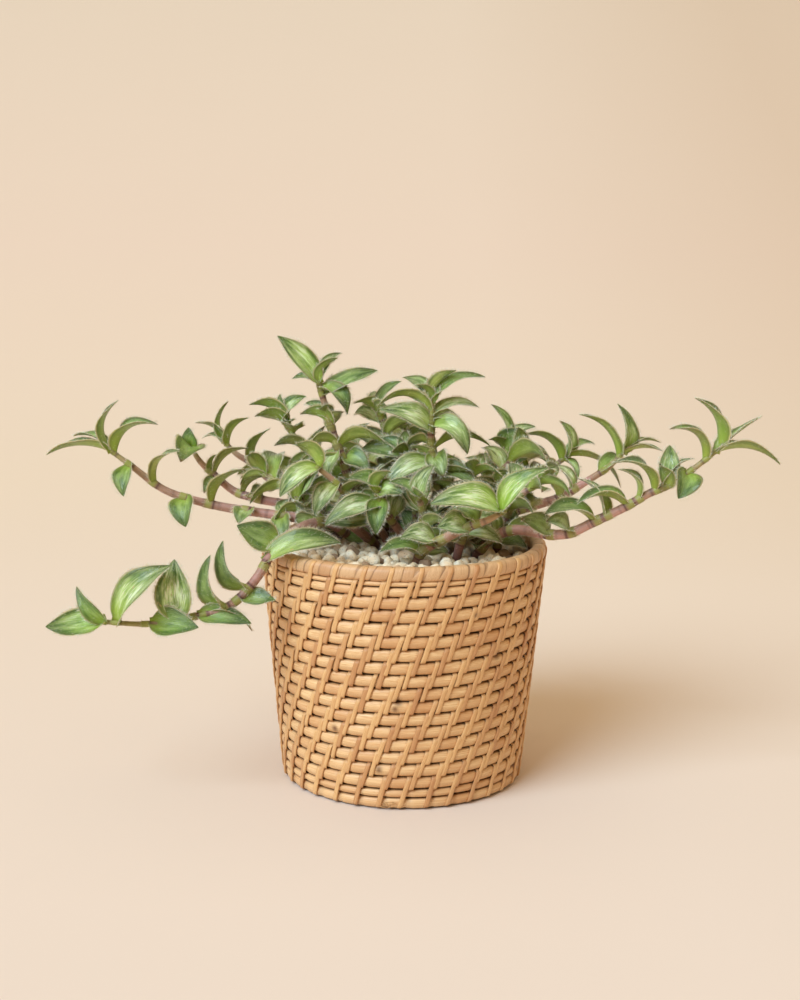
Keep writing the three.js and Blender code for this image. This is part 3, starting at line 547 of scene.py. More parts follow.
def plastic_finish():
    """The dark moulded pot inside the basket."""
    finish = Finish("liner_plastic", 0.42)
    speckle = finish.noise(finish.place(), 900, 2)
    finish.body = finish.mix(speckle, (28.6, 28.6, 27.1), (48.4, 47.5, 45.7))
    finish.bump(speckle, 0.08, 0.5)
    return finish.done()


def soil_finish():
    """Dark crumbly potting soil."""
    finish = Finish("potting_soil", 0.95)
    crumbs = finish.noise(finish.place(), 420, 6, 0.7)
    finish.body = finish.mix(finish.band(crumbs, 0.35, 0.7), (38, 25, 17), (104, 76, 54))
    finish.bump(crumbs, 1.2, 1)
    return finish.done()


def pumice_finish():
    """Dry pumice chips, cream to tan, pitted, with painted shade in pits, underneath and on the lower layer.
    """
    finish = Finish("pumice", 0.92)
    stain, place, shade = finish.stain, finish.place(), finish.value("shade")
    pits, patches = finish.noise(place, 900, 5, 0.7), finish.noise(place, 260)
    finish.body = finish.mix(finish.band(patches, 0.35, 0.7), (255, 228, 186), (255, 247, 222))
    # the lower layer takes the tan and the brown in full, as painted shade in the gaps; a few upper chips
    # are tan or brown of their own
    stain(shade, 0.78, 0.93, 0.6, (220, 174, 128))
    stain(shade, 0.93, 0.97, 0.8, (120, 92, 70))
    # painted shade in the pits, where the relief is low
    stain(pits, 0.42, 0.34, 0.75, (132, 98, 66))
    # painted shade on the undersides of the chips
    finish.paint(finish.times(finish.value("dust"), 0.9), (96, 64, 40))
    finish.bump(pits, 0.9, 0.9)
    return finish.done()


def leaf_finish():
    """Glossy green, lime at the root, with brown tips and a pale margin; silvery along the middle,
    with painted sheen, glints and highlights there."""
    finish = Finish("leaf", 0.32, Sheen_Weight=0.12, Sheen_Roughness=0.4, Coat_Weight=0.25,
                    Subsurface_Weight=0.3, Subsurface_Radius=(0.8, 1, 0.3), Subsurface_Scale=0.0012)
    band, times, mix, paint, stain = finish.band, finish.times, finish.mix, finish.paint, finish.stain
    across, along, shade = (finish.value(name) for name in ("across", "along", "shade"))
    from_midrib, each = finish.math("ABSOLUTE", across), times(shade, 60)

    def lengthwise(wide, high, scale, detail):
        vector = finish.vector(times(across, wide), times(along, high), each)
        return finish.noise(vector, scale, detail, 0.6)

    clouds, patches = lengthwise(1.6, 1.3, 1.7, 3), lengthwise(2.6, 1.5, 1.9, 3)
    dashes, scars = lengthwise(20, 3.6, 1.7, 2), lengthwise(2.4, 3.4, 1.5, 2)
    veins = finish.math("SINE", times(across, 58))
    silvery = band(finish.math("FRACT", times(shade, 7.3)), 0.35, 0.95, 0.08, 1)
    middle = times(band(from_midrib, 0.9, 0.3), band(along, 1, 0.5))
    light = finish.math("ADD", clouds, times(middle, 0.18))
    spread = times(band(light, 0.42, 0.74), band(silvery, 0.08, 0.6, 0.5, 1))
    lime = times(finish.value("lime"), band(along, 0.9, 0.15, 0.2, 1))

    finish.body = mix(spread, (126, 146, 54), (190, 202, 108))
    stain(shade, 0.6, 1, 0.5, (132, 100, 76))
    paint(lime, (146, 184, 78))
    lower = finish.body

    mature = mix(spread, mix(shade, (66, 104, 34), (112, 124, 50)), (184, 210, 112))
    finish.body = mix(lime, mature, mix(spread, (94, 142, 30), (194, 230, 92)))
    stain(patches, 0.5, 0.74, 0.55, mix(lime, (46, 72, 26), (72, 112, 24)))
    # the hairs' silver, with painted sheen, where the leaf is lightest
    silver_and_painted_sheen = times(band(light, 0.44, 0.74, 0, 0.42), silvery)
    paint(silver_and_painted_sheen, mix(lime, (206, 214, 168), (196, 238, 116)))
    # painted glints: white dashes on silvery leaves
    glint = times(band(dashes, 0.52, 0.59), band(light, 0.5, 0.66, 0, 0.9))
    paint(times(glint, silvery), (255, 252, 226))
    # painted highlight: a pale glare on silvery leaves where they are lightest
    paint(times(band(light, 0.68, 0.8, 0, 0.8), silvery), (240, 255, 214))
    paint(band(scars, 0.7, 0.74), (198, 166, 112))
    stain(veins, 0.5, 1, 0.14, (180, 200, 140))

    finish.body = mix(finish.value("under"), finish.body, lower)
    stain(along, 0.4, 0.02, 0.75, (174, 194, 66))
    stain(along, 0.5, 1, 0.45, (78, 86, 50))
    stain(from_midrib, 0.6, 0.88, 0.42, (84, 72, 44))
    stain(from_midrib, 0.9, 0.98, 0.6, (234, 214, 168))
    paint(times(band(along, 0.88, 1), band(shade, 0.3, 0.6)), (126, 88, 58))
    relief = finish.math("ADD", times(veins, 0.3), times(dashes, 1.6))
    cells = finish.noise(finish.place(), 1500, 2)
    finish.bump(finish.math("ADD", relief, cells), 0.22, 0.7)
    return finish.done()


def stem_finish():
    """Mauve-brown stems, green where a sheath clasps them, with a dark ring at each joint and
    painted shade at the foot.
    """
    finish = Finish("stem", 0.5, Sheen_Weight=0.4, Sheen_Roughness=0.4,
                    Subsurface_Weight=0.1, Subsurface_Scale=0.001)
    streaks = finish.noise(finish.vector(
        finish.times(finish.value("round"), 2),
        finish.times(finish.value("run"), 0.12),
        finish.value("shade")), 2.4, 4)
    patches = finish.noise(finish.place(), 60, 2)
    finish.body = finish.mix(finish.band(streaks, 0.35, 0.68), (140, 100, 86), (178, 136, 120))
    finish.stain(patches, 0.4, 0.58, 0.8, (200, 146, 142))
    finish.paint(finish.value("lime"), (222, 172, 140))
    finish.paint(finish.value("green"), (156, 158, 76))
    finish.paint(finish.value("ring"), (92, 56, 46))
    finish.bump(streaks, 0.18, 0.5)
    return finish.done()


def hair_finish():
    """Pale silky hairs."""
    finish = Finish("leaf_hair", 0.5, Sheen_Weight=0.5, Subsurface_Weight=0.2, Subsurface_Scale=0.0005)
    finish.body = finish.mix(finish.value("shade"), (246, 234, 190), (255, 250, 226))
    return finish.done()


def backdrop_finish():
    """Seamless paper, which deepens in colour towards the back, with painted shade a little to the
    right where the light falls off.
    """
    finish = Finish("backdrop", 0.95, Specular_IOR_Level=0.1)
    place = finish.place()
    right, depth = (finish.add("ShaderNodeSeparateXYZ", place, output=axis) for axis in (0, 1))
    finish.body = PAPER_NEAR
    for start, end, colour in PAPER_DEPTHS:
        finish.stain(depth, start, end, 1, colour)
    # painted shade: the light falling off to the right
    finish.stain(right, 0.15, 1, 0.45, (196, 168, 138))
    finish.paint(finish.times(finish.noise(place, 3, 2), 0.04), (200, 170, 140))
    return finish.done()


PAPER_NEAR = (235, 220, 206)
# from y, to y in metres, colour there
PAPER_DEPTHS = [(-0.2, 1, (230, 213, 191)), (1, 2.5, (224, 203, 183)), (2.5, 4, (217, 198, 176))]
CANE_ROD = rattan_finish("rattan_rod", (208, 146, 86), (255, 216, 160), (206, 140, 82))
CANE_STRIP = rattan_finish("rattan_strip", (204, 138, 78), (248, 204, 142), (182, 114, 68))
CANE_WRAP = rattan_finish("rattan_wrap", (196, 142, 94), (242, 202, 152), (192, 134, 86))
LEAF_MATERIALS = [leaf_finish(), stem_finish(), hair_finish()]
LEAF, STEM, HAIR = range(3)

# ----- the basket -----
# deep: painted shade in grooves and tucks, plus the cane's own knots and bruises
CANE_VALUES = ("run", "round", "shade", "deep")
rattan_draws = np.random.default_rng(11)


def basket_radius(z):
    return BASKET_FOOT_RADIUS + (BASKET_TOP_RADIUS - BASKET_FOOT_RADIUS) * z / BASKET_HEIGHT


def round_axis(angle, radius, z):
    """Points at these angles and radii round the pot's axis."""
    return np.stack(np.broadcast_arrays(radius * np.cos(angle), radius * np.sin(angle), z), axis=-1)


def on_wall(angle, z, out):
    """Points of the basket's side, this far out from its surface."""
    return round_axis(angle, basket_radius(z) + out, z)


def on_base(angle, radius, out):
    """Points of the basket's underside, this far out below the middle of its rods."""
    return round_axis(angle, radius, ROD_DEPTH / 2 - out)


def squared(value, power):
    return np.sign(value) * np.abs(value) ** power


def knot_shade(points):
    """How dark the few knots and bruises of the cane are near these points."""
    shade = np.zeros(points.shape[:-1])
    for angle, z, size in KNOTS:
        centre = on_wall(math.radians(angle), z, 0)
        shade = np.maximum(shade, peak(np.linalg.norm(points - centre, axis=-1), size))
    return shade


def rod_ring(shape, surface, level, half_height, half_depth, count, tie, out):
    """One ring of rod, which swells between its lashings at the angle tie and each pitch on.
    level is a height on the wall, or a radius on the base."""
    steps = np.arange(ROD_STEPS * count)
    segment, place = steps // ROD_STEPS, steps / ROD_STEPS % 1
    angle, turn = tie + even_angles(len(steps))[:, None], even_angles(ROD_STEPS)
    tied = peak(np.minimum(place, 1 - place), 0.17, 4)[:, None]
    shades = rattan_draws.random((count, 1))
    wobble = rattan_draws.normal(0, 0.1, (count, 2))
    high, deep = squared(np.sin(turn), 0.72), squared(np.cos(turn), 0.9)
    offset = level + high * half_height * (1 - 0.05 * tied) + wobble[segment, :1]
    lift = out - half_depth + deep * half_depth - ROD_PINCH * tied + wobble[segment, 1:]
    points = surface(angle, offset, lift)
    # painted shade in the grooves, on the rod's lower half and inner side and by its lashings; the knots are
    # real
    dark = np.clip((np.abs(high) - 0.84) / 0.16, 0, 1) * 0.75 + 0.16 * np.clip(-high, 0, 1)
    dark = np.where(np.cos(turn) < -0.2, 0.85, dark + 0.12 * tied) + knot_shade(points)
    shape.add(points, ring_faces(points), run=angle * level, round=turn, shade=shades[segment] * 0.9,
              deep=np.clip(dark, 0, 0.9))


def lashing(shape, surface, start, end, angle, lean, out):
    """A flat strip over the rods from level start to level end, tucked in at both ends."""
    u = np.linspace(0, 1, 15)[:, None]
    width = STITCH_WIDTH * rattan_draws.uniform(0.88, 1.12) / 2
    shade = rattan_draws.random()
    lean = lean * rattan_draws.uniform(0.85, 1.15)
    tuck = math.copysign(STITCH_TUCK, start - end)
    level = start + tuck + (end - start - 2 * tuck) * u
    ends, over_hoop = np.abs(2 * u - 1) ** 14, 0 * u
    if surface is on_wall and start > ROW_EDGES[0]:
        ends[u < 0.5] = 0
        over_hoop = np.clip((level - ROW_EDGES[0] - HOOP_THICKNESS / 2) * 2 / HOOP_THICKNESS, 0, 1)
    dip = STITCH_DIP * ends + 0.25 * peak(u - 0.5, 0.1)
    dip = dip + HOOP_THICKNESS / 2 * (1 - np.sqrt(1 - over_hoop**2))
    turn = even_angles(10, 0.5)
    side = squared(np.cos(turn), 0.8) * width
    crown = squared(np.sin(turn), 0.7) * STITCH_THICKNESS / 2
    radius = basket_radius((start + end) / 2) if surface is on_wall else (start + end) / 2
    points = surface(angle - lean * u / radius + side / radius, level, out - dip + crown)
    # painted shade where the ends tuck under the rods and along both edges; the knots are the cane's own
    deep = 0.7 * ends + 0.15 * np.abs(np.cos(turn)) ** 12 + knot_shade(points)
    shape.add(points, tube_faces(points), run=u * 15, round=turn, shade=shade,
              deep=np.clip(deep, 0, 0.85))


def wall_ring(rods, top, bottom, tie, out):
    rod_ring(rods, on_wall, (top + bottom) / 2, (top - bottom) / 2 - ROD_GAP, ROD_DEPTH / 2,
             STITCHES_ROUND, tie, out)


def basket_wall(rods, lashings):
    for row, (top, bottom) in enumerate(zip(ROW_EDGES, ROW_EDGES[1:])):
        tie = STITCH_PHASE - (row + 1) * STITCH_DRIFT * PITCH + TIE_OFFSET
        if row == 0:
            rod_ring(rods, on_wall, top - FILLER_HEIGHT / 2, FILLER_HEIGHT / 2,
                     ROD_DEPTH / 2 - FILLER_SINK, STITCHES_ROUND, tie, -FILLER_SINK)
            top -= FILLER_HEIGHT
        wall_ring(rods, top, bottom, tie, 0)
    tie = STITCH_PHASE - (len(ROW_EDGES) - 0.6) * STITCH_DRIFT * PITCH
    for top, bottom in zip(FOOT_EDGES, FOOT_EDGES[1:]):
        wall_ring(rods, top, bottom, tie, -FOOT_SINK)
    spans = [(BASKET_HEIGHT - RIM_STITCH, ROW_EDGES[1]), *zip(ROW_EDGES, ROW_EDGES[2:]),
             (ROW_EDGES[-2], FOOT_EDGES[-1] + STITCH_TUCK)]
    for row, (start, end) in enumerate(spans):
        for k in range(STITCHES_ROUND):
            angle = STITCH_PHASE + (k - row * STITCH_DRIFT) * PITCH + rattan_draws.normal(0, 0.004)
            lashing(lashings, on_wall, start, end, angle, STITCH_LEAN, STITCH_OUT)


def basket_base(rods, lashings):
    """The underside: rings of rod with lashings over each pair."""
    radius = BASKET_FOOT_RADIUS - ROD_DEPTH - COIL_STEP / 2
    row = 0
    while radius > COIL_STEP / 2:
        count = max(6, round(2 * math.pi * radius / COIL_PITCH))
        tie = row * COIL_DRIFT
        rod_ring(rods, on_base, radius, COIL_STEP / 2 - 0.1, COIL_DEPTH, count, tie, COIL_OUT)
        inner = max(radius - COIL_STEP * 1.5, 0.6)
        for angle in tie + even_angles(count):
            lashing(lashings, on_base, radius + COIL_STEP / 2, inner, angle, COIL_LEAN, COIL_OUT)
        radius -= COIL_STEP
        row += 1


def rim_hoop():
    """A hoop wrapped in flat strips, each lapping over the next."""
    turn, middle = even_angles(18), (BASKET_HEIGHT + ROW_EDGES[0]) / 2
    half_height, half_depth = (BASKET_HEIGHT - ROW_EDGES[0]) / 2 - 0.05, HOOP_THICKNESS / 2
    high, deep = squared(np.sin(turn), 0.75) * half_height, squared(np.cos(turn), 0.75) * half_depth
    widths = rattan_draws.uniform(0.6, 1.4, WRAPS_ROUND)
    ends = np.concatenate([[0], np.cumsum(widths)]) / widths.sum() * 2 * math.pi
    angles = (ends[:-1, None] + np.diff(ends)[:, None] * WRAP_SHARES)[..., None]
    slants, shades = rattan_draws.normal(0.02, 0.012, EACH_WRAP), rattan_draws.random(EACH_WRAP)
    # painted shade in the seams, where each wrap laps under the next
    painted_seam_shade = rattan_draws.uniform(0.4, 1, EACH_WRAP) * np.clip(-WRAP_RELIEF * 6, 0, 0.85)[:, None]
    scale = 1 + WRAP_RELIEF[:, None] / half_height
    radius = BASKET_TOP_RADIUS - half_depth - 0.3 + deep * scale
    points = round_axis(angles + slants * np.sin(turn), radius, middle + high * scale - 0.2)
    points = points.reshape(-1, len(turn), 3)
    shape = Shape(*CANE_VALUES)
    shape.add(points, ring_faces(points), run=turn * 5, round=(angles * 40).reshape(-1, 1),
              shade=np.repeat(shades * 0.9, len(WRAP_SHARES))[:, None], deep=painted_seam_shade.reshape(-1, 1))
    shape.make("rim_hoop_wrapped", [CANE_WRAP], "rattan_wrap", "rim_hoop")


def frayed_end(shape):
    """The split end of the coil, which shows at the foot."""
    u, turn = np.array([0, 0.5, 1])[:, None], even_angles(4)
    circle = np.stack([np.zeros(4), np.cos(turn), np.sin(turn)], axis=1)
    taper = np.array([1, 0.9, 0.25])[:, None, None]
    for _ in range(FRAY_FIBRES):
        angle = FRAY_ANGLE + rattan_draws.normal(0, 0.02)
        root = on_wall(angle, rattan_draws.uniform(1, 4.5), -0.6)
        tip = on_wall(angle + rattan_draws.normal(0.02, 0.045), rattan_draws.uniform(0.6, 6), 0.9)
        centre = root * (1 - u) + tip * u
        points = centre[:, None] + circle * rattan_draws.uniform(0.18, 0.4) * taper
        # deep: painted shade at the fibres' roots, where they leave the wall
        shape.add(points, tube_faces(points), run=u * 4, round=turn, shade=0.1, deep=[[0.5], [0], [0]])


def basket():
    rods, lashings = Shape(*CANE_VALUES), Shape(*CANE_VALUES)
    basket_wall(rods, lashings)
    basket_base(rods, lashings)
    frayed_end(lashings)
    rods.make("basket_rods", [CANE_ROD], "rattan", "basket")
    lashings.make("basket_lashings", [CANE_STRIP], "rattan_wrap", "basket")


# ----- soil and chips -----
bed_draws = np.random.default_rng(23)


def soil_bed():
    """The soil's surface is uneven; its sides and bottom follow the liner."""
    low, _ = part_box("soil")
    bottom = low.z / MM
    radii = FILL_RADIUS * (1 - np.arange(SOIL_RINGS) / (SOIL_RINGS - 1)) + 0.5
    radii = np.concatenate([[0.5, basket_radius(bottom) - WALL_TO_SOIL], radii])
    heights = np.concatenate([[bottom] * 2, [SOIL_TOP_Z] * SOIL_RINGS])
    points = round_axis(even_angles(90), radii[:, None], heights[:, None])
    points[2:, :, 2] += bed_draws.normal(-0.4, 0.6, points[2:, :, 2].shape)
    shape = Shape()
    shape.add(points, tube_faces(points))
    shape.make("soil_bed", [soil_finish()], "potting_soil", "soil")


def chip_places(plants):
    """Centre and shade of each chip: two loose layers that leave room for the stems."""
    stems = np.array([plant["path"][0][:2] for plant in plants], float)
    places = []
    for height, spacing, dark in CHIP_LAYERS:
        rows = int(FILL_RADIUS / (spacing * CHIP_ROW))
        for row in range(-rows, rows + 1):
            for column in range(-CHIP_COLUMNS, CHIP_COLUMNS + 1):
                x, y = (column + (row % 2) / 2) * spacing, row * spacing * CHIP_ROW
                x, y = np.array([x, y]) + bed_draws.normal(0, 1, 2)
                clear = np.hypot(*(stems - (x, y)).T).min()
                if math.hypot(x, y) < FILL_RADIUS - CHIP_EDGE and clear > CHIP_CLEAR:
                    places.append((x, y, height + bed_draws.normal(0, 0.7), bed_draws.uniform(dark, 1)))
    return np.array(places)


def pumice(plants):
    """Chips cut from spheres by flats that leave their edges a little round."""
    ball = bmesh.new()
    bmesh.ops.create_icosphere(ball, subdivisions=3, radius=1)
    sphere = np.array([v.co for v in ball.verts])
    faces = np.array([[v.index for v in f.verts] for f in ball.faces])
    ball.free()
    shape = Shape("shade", "dust")
    for *place, shade in chip_places(plants):
        stone = sphere.copy()
        for _ in range(CHIP_CUTS):
            cut = unit(bed_draws.normal(size=3))
            over = stone @ cut - bed_draws.uniform(0.56, 0.84)
            stone -= np.clip(over, 0, None)[:, None] * cut * 0.8
        stone *= bed_draws.uniform(0.8, 1.15, 3) * bed_draws.uniform(*CHIP_RADII)
        stone *= 1 + bed_draws.normal(0, 0.012, (len(stone), 1))
        spin = Matrix.Rotation(bed_draws.uniform(0, 6.28), 3, Vector(unit(bed_draws.normal(size=3))))
        stone = stone @ np.array(spin).T
        # painted shade: darker down the lower side of each chip
        dust = np.clip(-0.3 - 1.5 * stone[:, 2] / CHIP_RADII[1], 0, 1)
        shape.add(stone + np.array(place), faces, shade=shade, dust=dust)
    shape.make("pumice_chips", [pumice_finish()], "pumice", "pumice_topping")


# ----- where stems and leaves lie -----
def turned_about(vector, axis, angle):
    return np.array(Matrix.Rotation(angle, 3, Vector(axis)) @ Vector(vector))


def sideways(angle, along):
    """The way out of a stem that runs along, towards this angle of the plan."""
    return square_to(along, np.array([math.cos(angle), math.sin(angle), 0]))


def shoot_plant(index, name, row):
    """A shoot's path and its leaves, by the same rule as in the solids."""
    x, y, tip_x, tip_y, tip_z = row
    start = PUMICE_TOP_Z + CHIP_HEIGHT
    path = [[x + (tip_x - x) * out, y + (tip_y - y) * out, start + (tip_z - start) * rise]
            for out, rise in SHOOT_STEPS]
    curve = Curve(path)
    ranked = math.floor(curve.length() / SHOOT_LEAF_SPACING + 0.5) - 1
    low, high = SHOOT_LEAF_SPREAD
    leaves = []
    for i in range(ranked + SHOOT_TIP_LEAVES):
        at_tip = i >= ranked
        share = min(1, SHOOT_BARE + (1 - SHOOT_BARE) * i / ranked)
        along = curve.along(share * curve.last)[0]
        seed = index * 100 + i
        degrees = draw(index) * 360 + i * SHOOT_RANK_TURN + draw(seed) * SHOOT_TURN_SPREAD
        side = sideways(math.radians(degrees + (i * SHOOT_TIP_TURN if at_tip else 0)), along)
        length = SHOOT_LEAF_LENGTH * (low + (high - low) * draw(seed + 50))
        length *= SHOOT_TIP_SIZE if at_tip else 1
        lean = SHOOT_TIP_LEAN if at_tip else SHOOT_LEAF_LEAN
        offset = unit(side * SHOOT_LEAF_OUT + along * lean) * length
        leaves.append([share * curve.last, *offset, length * SHOOT_LEAF_RATIO])
    return {"name": "leafy_shoot_" + name, "radius": SHOOT_RADIUS, "path": path, "leaves": leaves}


def front_roll(base, chord, look):
    """How far a blade of the crown turns about its midrib to show more of a side to the front."""
    angle = math.atan2(-np.cross(chord, look)[1], -look[1])
    angle = (angle + math.pi / 2) % math.pi - math.pi / 2
    limit = ROLL_LIMIT * np.clip((ROLL_END - math.hypot(base[0], base[1])) / ROLL_FADE, 0, 1)
    return float(np.clip(angle, -limit, limit))


def make_leaf(curve, number, place, offset, look, width, bow, rolls=True):
    """A leaf from this place of the stem to a tip at the offset; look is where its upper side
    faces."""
    base, chord = curve.at(place)[0], unit(offset)
    look = square_to(chord, look)
    roll = front_roll(base, chord, look) if rolls else 0
    return {"number": number, "place": place, "base": base, "offset": offset, "face": look,
            "width": width, "bow": bow, "roll": roll}


def table_leaf(curve, number, row, turn=0, share=1):
    """The leaf of a table row, turned round the stem by degrees and shortened."""
    at, x, y, z, width, face, bow = (*row, None, None)[:7]
    place = min(at, curve.last - ROOT_SINK)
    along = curve.along(place)[0]
    offset = turned_about((x, y, z), along, math.radians(turn)) * share
    look = turned_about(face, along, math.radians(turn)) if face else along + UP
    bow = LEAF_BOW * math.sqrt(x * x + y * y + z * z) if bow is None else bow
    return make_leaf(curve, number, place, offset, look, width * share, bow * share, not face)


def placed_leaves(plant, curve):
    """Each leaf as its solid has it: the turn and length whose tip is a corner of the node."""
    corners = np.array([v.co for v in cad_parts[plant["name"]].data.vertices]) / MM

    def fits(leaf):
        tip = leaf["base"] + leaf["offset"]
        return np.linalg.norm(corners - tip, axis=1).min() < TIP_MATCH

    leaves = []
    for number, row in enumerate(plant["leaves"]):
        tries = [table_leaf(curve, number, row, turn, share) for share in SHORTENINGS for turn in TURNS]
        leaves += [leaf for leaf in tries if fits(leaf)][:1]
    return leaves


def inner_leaves(plant, curve, leaves, draws):
    """Small leaves low on the stems, in the shade of the crown, behind the open chips."""
    first = min([leaf["place"] for leaf in leaves], default=curve.last)
    fine = np.linspace(0, curve.last, 200)
    run = distances(curve.at(fine))
    reach = np.interp(max(first, INNER_REACH * curve.last), fine, run)
    made = []
    for number, distance in enumerate(np.arange(INNER_START, reach, INNER_SPACING)):
        place = float(np.interp(distance + draws.normal(0, 1), run, fine))
        base, along = curve.at(place)[0], curve.along(place)[0]
        angle = math.radians(number * DIVERGENCE + draws.uniform(-30, 30)) + plant["path"][0][0]
        side = sideways(angle, along)
        offset = unit(side + along * draws.uniform(0.1, 0.7)) * draws.uniform(*INNER_LENGTH)
        x, y, z = base + offset
        lowest = min(z, base[2])
        inside = y > INNER_FRONT and math.hypot(x, y) < INNER_EDGE and z > INNER_LOW
        open_chips = x < OPEN_CHIPS[0] and y < OPEN_CHIPS[1] and lowest < OPEN_CHIPS[2]
        if inside and not open_chips and lowest < INNER_HIGH:
            look, width = unit(along + UP * 0.6), np.linalg.norm(offset) * INNER_RATIO
            made.append(make_leaf(curve, UNLISTED, place, offset, look, width, INNER_BOW))
    return made


# ----- blades and hairs -----
def outline(t):
    """A leaf's half width along its midrib, as a share of its widest."""
    blade = np.sin(math.pi * np.clip(t, 0, 1) ** 0.72) ** 0.85
    return np.maximum(np.nan_to_num(blade), 0.4 * (1 - 3 * t))


def leaf_frame(leaf, t, twist):
    """Centre, direction, side and upward normal of the blade at t."""
    t, face = t[..., None], leaf["face"]
    p0, p2 = leaf["base"], leaf["base"] + leaf["offset"]
    p1 = p0 + leaf["offset"] / 2 + face * leaf["bow"] * 2
    centre = (1 - t) ** 2 * p0 + 2 * t * (1 - t) * p1 + t**2 * p2
    along = unit(2 * (1 - t) * (p1 - p0) + 2 * t * (p2 - p1))
    normal = unit(face - (along @ face)[..., None] * along)
    side = np.cross(along, normal)
    angle = twist * (t - 0.25) + leaf["roll"] * np.clip(t / 0.3, 0, 1)
    cos, sin = np.cos(angle), np.sin(angle)
    return centre, along, side * cos - normal * sin, normal * cos + side * sin


def blade_points(leaf, look, t, s, lift=0, narrowing=1):
    """Points of the folded blade at t along and s across, lifted by this much, and the blade's
    direction, side and normal there."""
    centre, along, side, normal = leaf_frame(leaf, t, look["twist"])
    half = outline(t) * leaf["width"] * WIDENING / 2
    fold = np.radians(look["fold"] + ROOT_FOLD * np.exp(-t / 0.1) - 6 * t)
    wave = WAVE * half * np.sin(2 * math.pi * (1.4 * t + look["phase"] + 0.25 * np.sign(s)))
    out = half * np.cos(fold) * s * narrowing
    rise = half * np.sin(fold) * np.abs(s) ** 1.3 + wave * np.abs(s) ** 2 + lift
    return centre + side * out[..., None] + normal * rise[..., None], along, side, normal


def add_leaf(shape, leaf, look, draws):
    t, s = STATIONS[:, None], ACROSS
    thick = (BLADE_THICKNESS - EDGE_THINNING * np.abs(s)) * np.clip(1.4 - t, 0.35, 1)
    keel = thick + KEEL * peak(s, 0.12) * (1 - t)
    top, *_ = blade_points(leaf, look, t, s, thick)
    bottom, *_ = blade_points(leaf, look, t, s, -keel, 0.99)
    points = np.concatenate([top, bottom[:, ::-1]], axis=1)
    shape.add(points, tube_faces(points), LEAF, across=np.concatenate([s, s[::-1]]), along=t,
              under=np.repeat([0, 1], len(s)), shade=look["shade"], lime=look["lime"])
    leaf_hairs(shape, leaf, look, draws)


def add_hairs(shape, draws, roots, ways, lengths, radius):
    """Three-sided hairs, each pointed."""
    ways, lengths = unit(ways), draws.uniform(*lengths, (len(roots), 1))
    first = unit(np.cross(ways, unit(draws.normal(size=ways.shape))))
    second = np.cross(ways, first)
    corners = [roots + radius * (math.cos(a) * first + math.sin(a) * second) for a in even_angles(3)]
    points = np.stack([*corners, roots + ways * lengths], axis=1)
    base = np.arange(len(roots))[:, None, None] * 4
    faces = (base + np.array([[0, 1, 3], [1, 2, 3], [2, 0, 3], [0, 2, 1]])).reshape(-1, 3)
    shape.add(points, faces, HAIR, shade=draws.random((len(roots), 1)))


def leaf_hairs(shape, leaf, look, draws):
    """A fringe along both edges, and shorter hairs on both sides."""
    length = np.linalg.norm(leaf["offset"])
    count = int(length * 2 / HAIR_SPACING)
    t, s = draws.uniform(0.04, 0.985, count), np.sign(draws.normal(size=count))
    roots, along, side, normal = blade_points(leaf, look, t, s)
    ways = side * s[:, None] + along * draws.uniform(0.3, 1.6, (count, 1)) \
        + normal * draws.normal(0.35, 0.4, (count, 1))
    add_hairs(shape, draws, roots, ways, EDGE_HAIR, HAIR_RADIUS)
    count = int(length * leaf["width"] * SURFACE_HAIRS)
    t, s = draws.uniform(0.05, 0.95, count), draws.uniform(-0.95, 0.95, count)
    up = np.sign(draws.normal(size=count))
    roots, along, side, normal = blade_points(leaf, look, t, s, 0.2 * up)
    ways = normal * up[:, None] * 0.5 + along * draws.uniform(0.3, 1.2, (count, 1)) \
        + side * draws.normal(0, 0.35, (count, 1))
    add_hairs(shape, draws, roots, ways, SURFACE_HAIR, HAIR_RADIUS * 0.7)


# ----- stems -----
def rings_and_sheaths(run, nodes, draws):
    """How much of a ring and of a sheath the stem has at each distance of its run."""
    ring, sheath = np.zeros(len(run)), np.zeros(len(run))
    for joint in np.arange(JOINT_STEP, run[-1] - JOINT_STEP, JOINT_STEP) + draws.normal(0, 1):
        ring = np.maximum(ring, draws.uniform(0.2, 0.7) * peak(run - joint, 0.7))
    for node in nodes:
        ahead = run - node
        ring = np.maximum(ring, peak(ahead + 0.6, 0.8))
        sheath = np.maximum(sheath, np.clip(ahead / 0.6, 0, 1) * np.clip((SHEATH - ahead) / 0.5, 0, 1))
    return ring, sheath


def tube_points(centre, along, radius, turn):
    """Rings of points about a line, without a twist from one to the next."""
    side = np.array([1.0, 0, 0])
    points = []
    for c, a, r in zip(centre, along, radius):
        side = square_to(a, side)
        points.append(c + r * (np.cos(turn)[:, None] * side + np.sin(turn)[:, None] * np.cross(a, side)))
    return np.array(points)


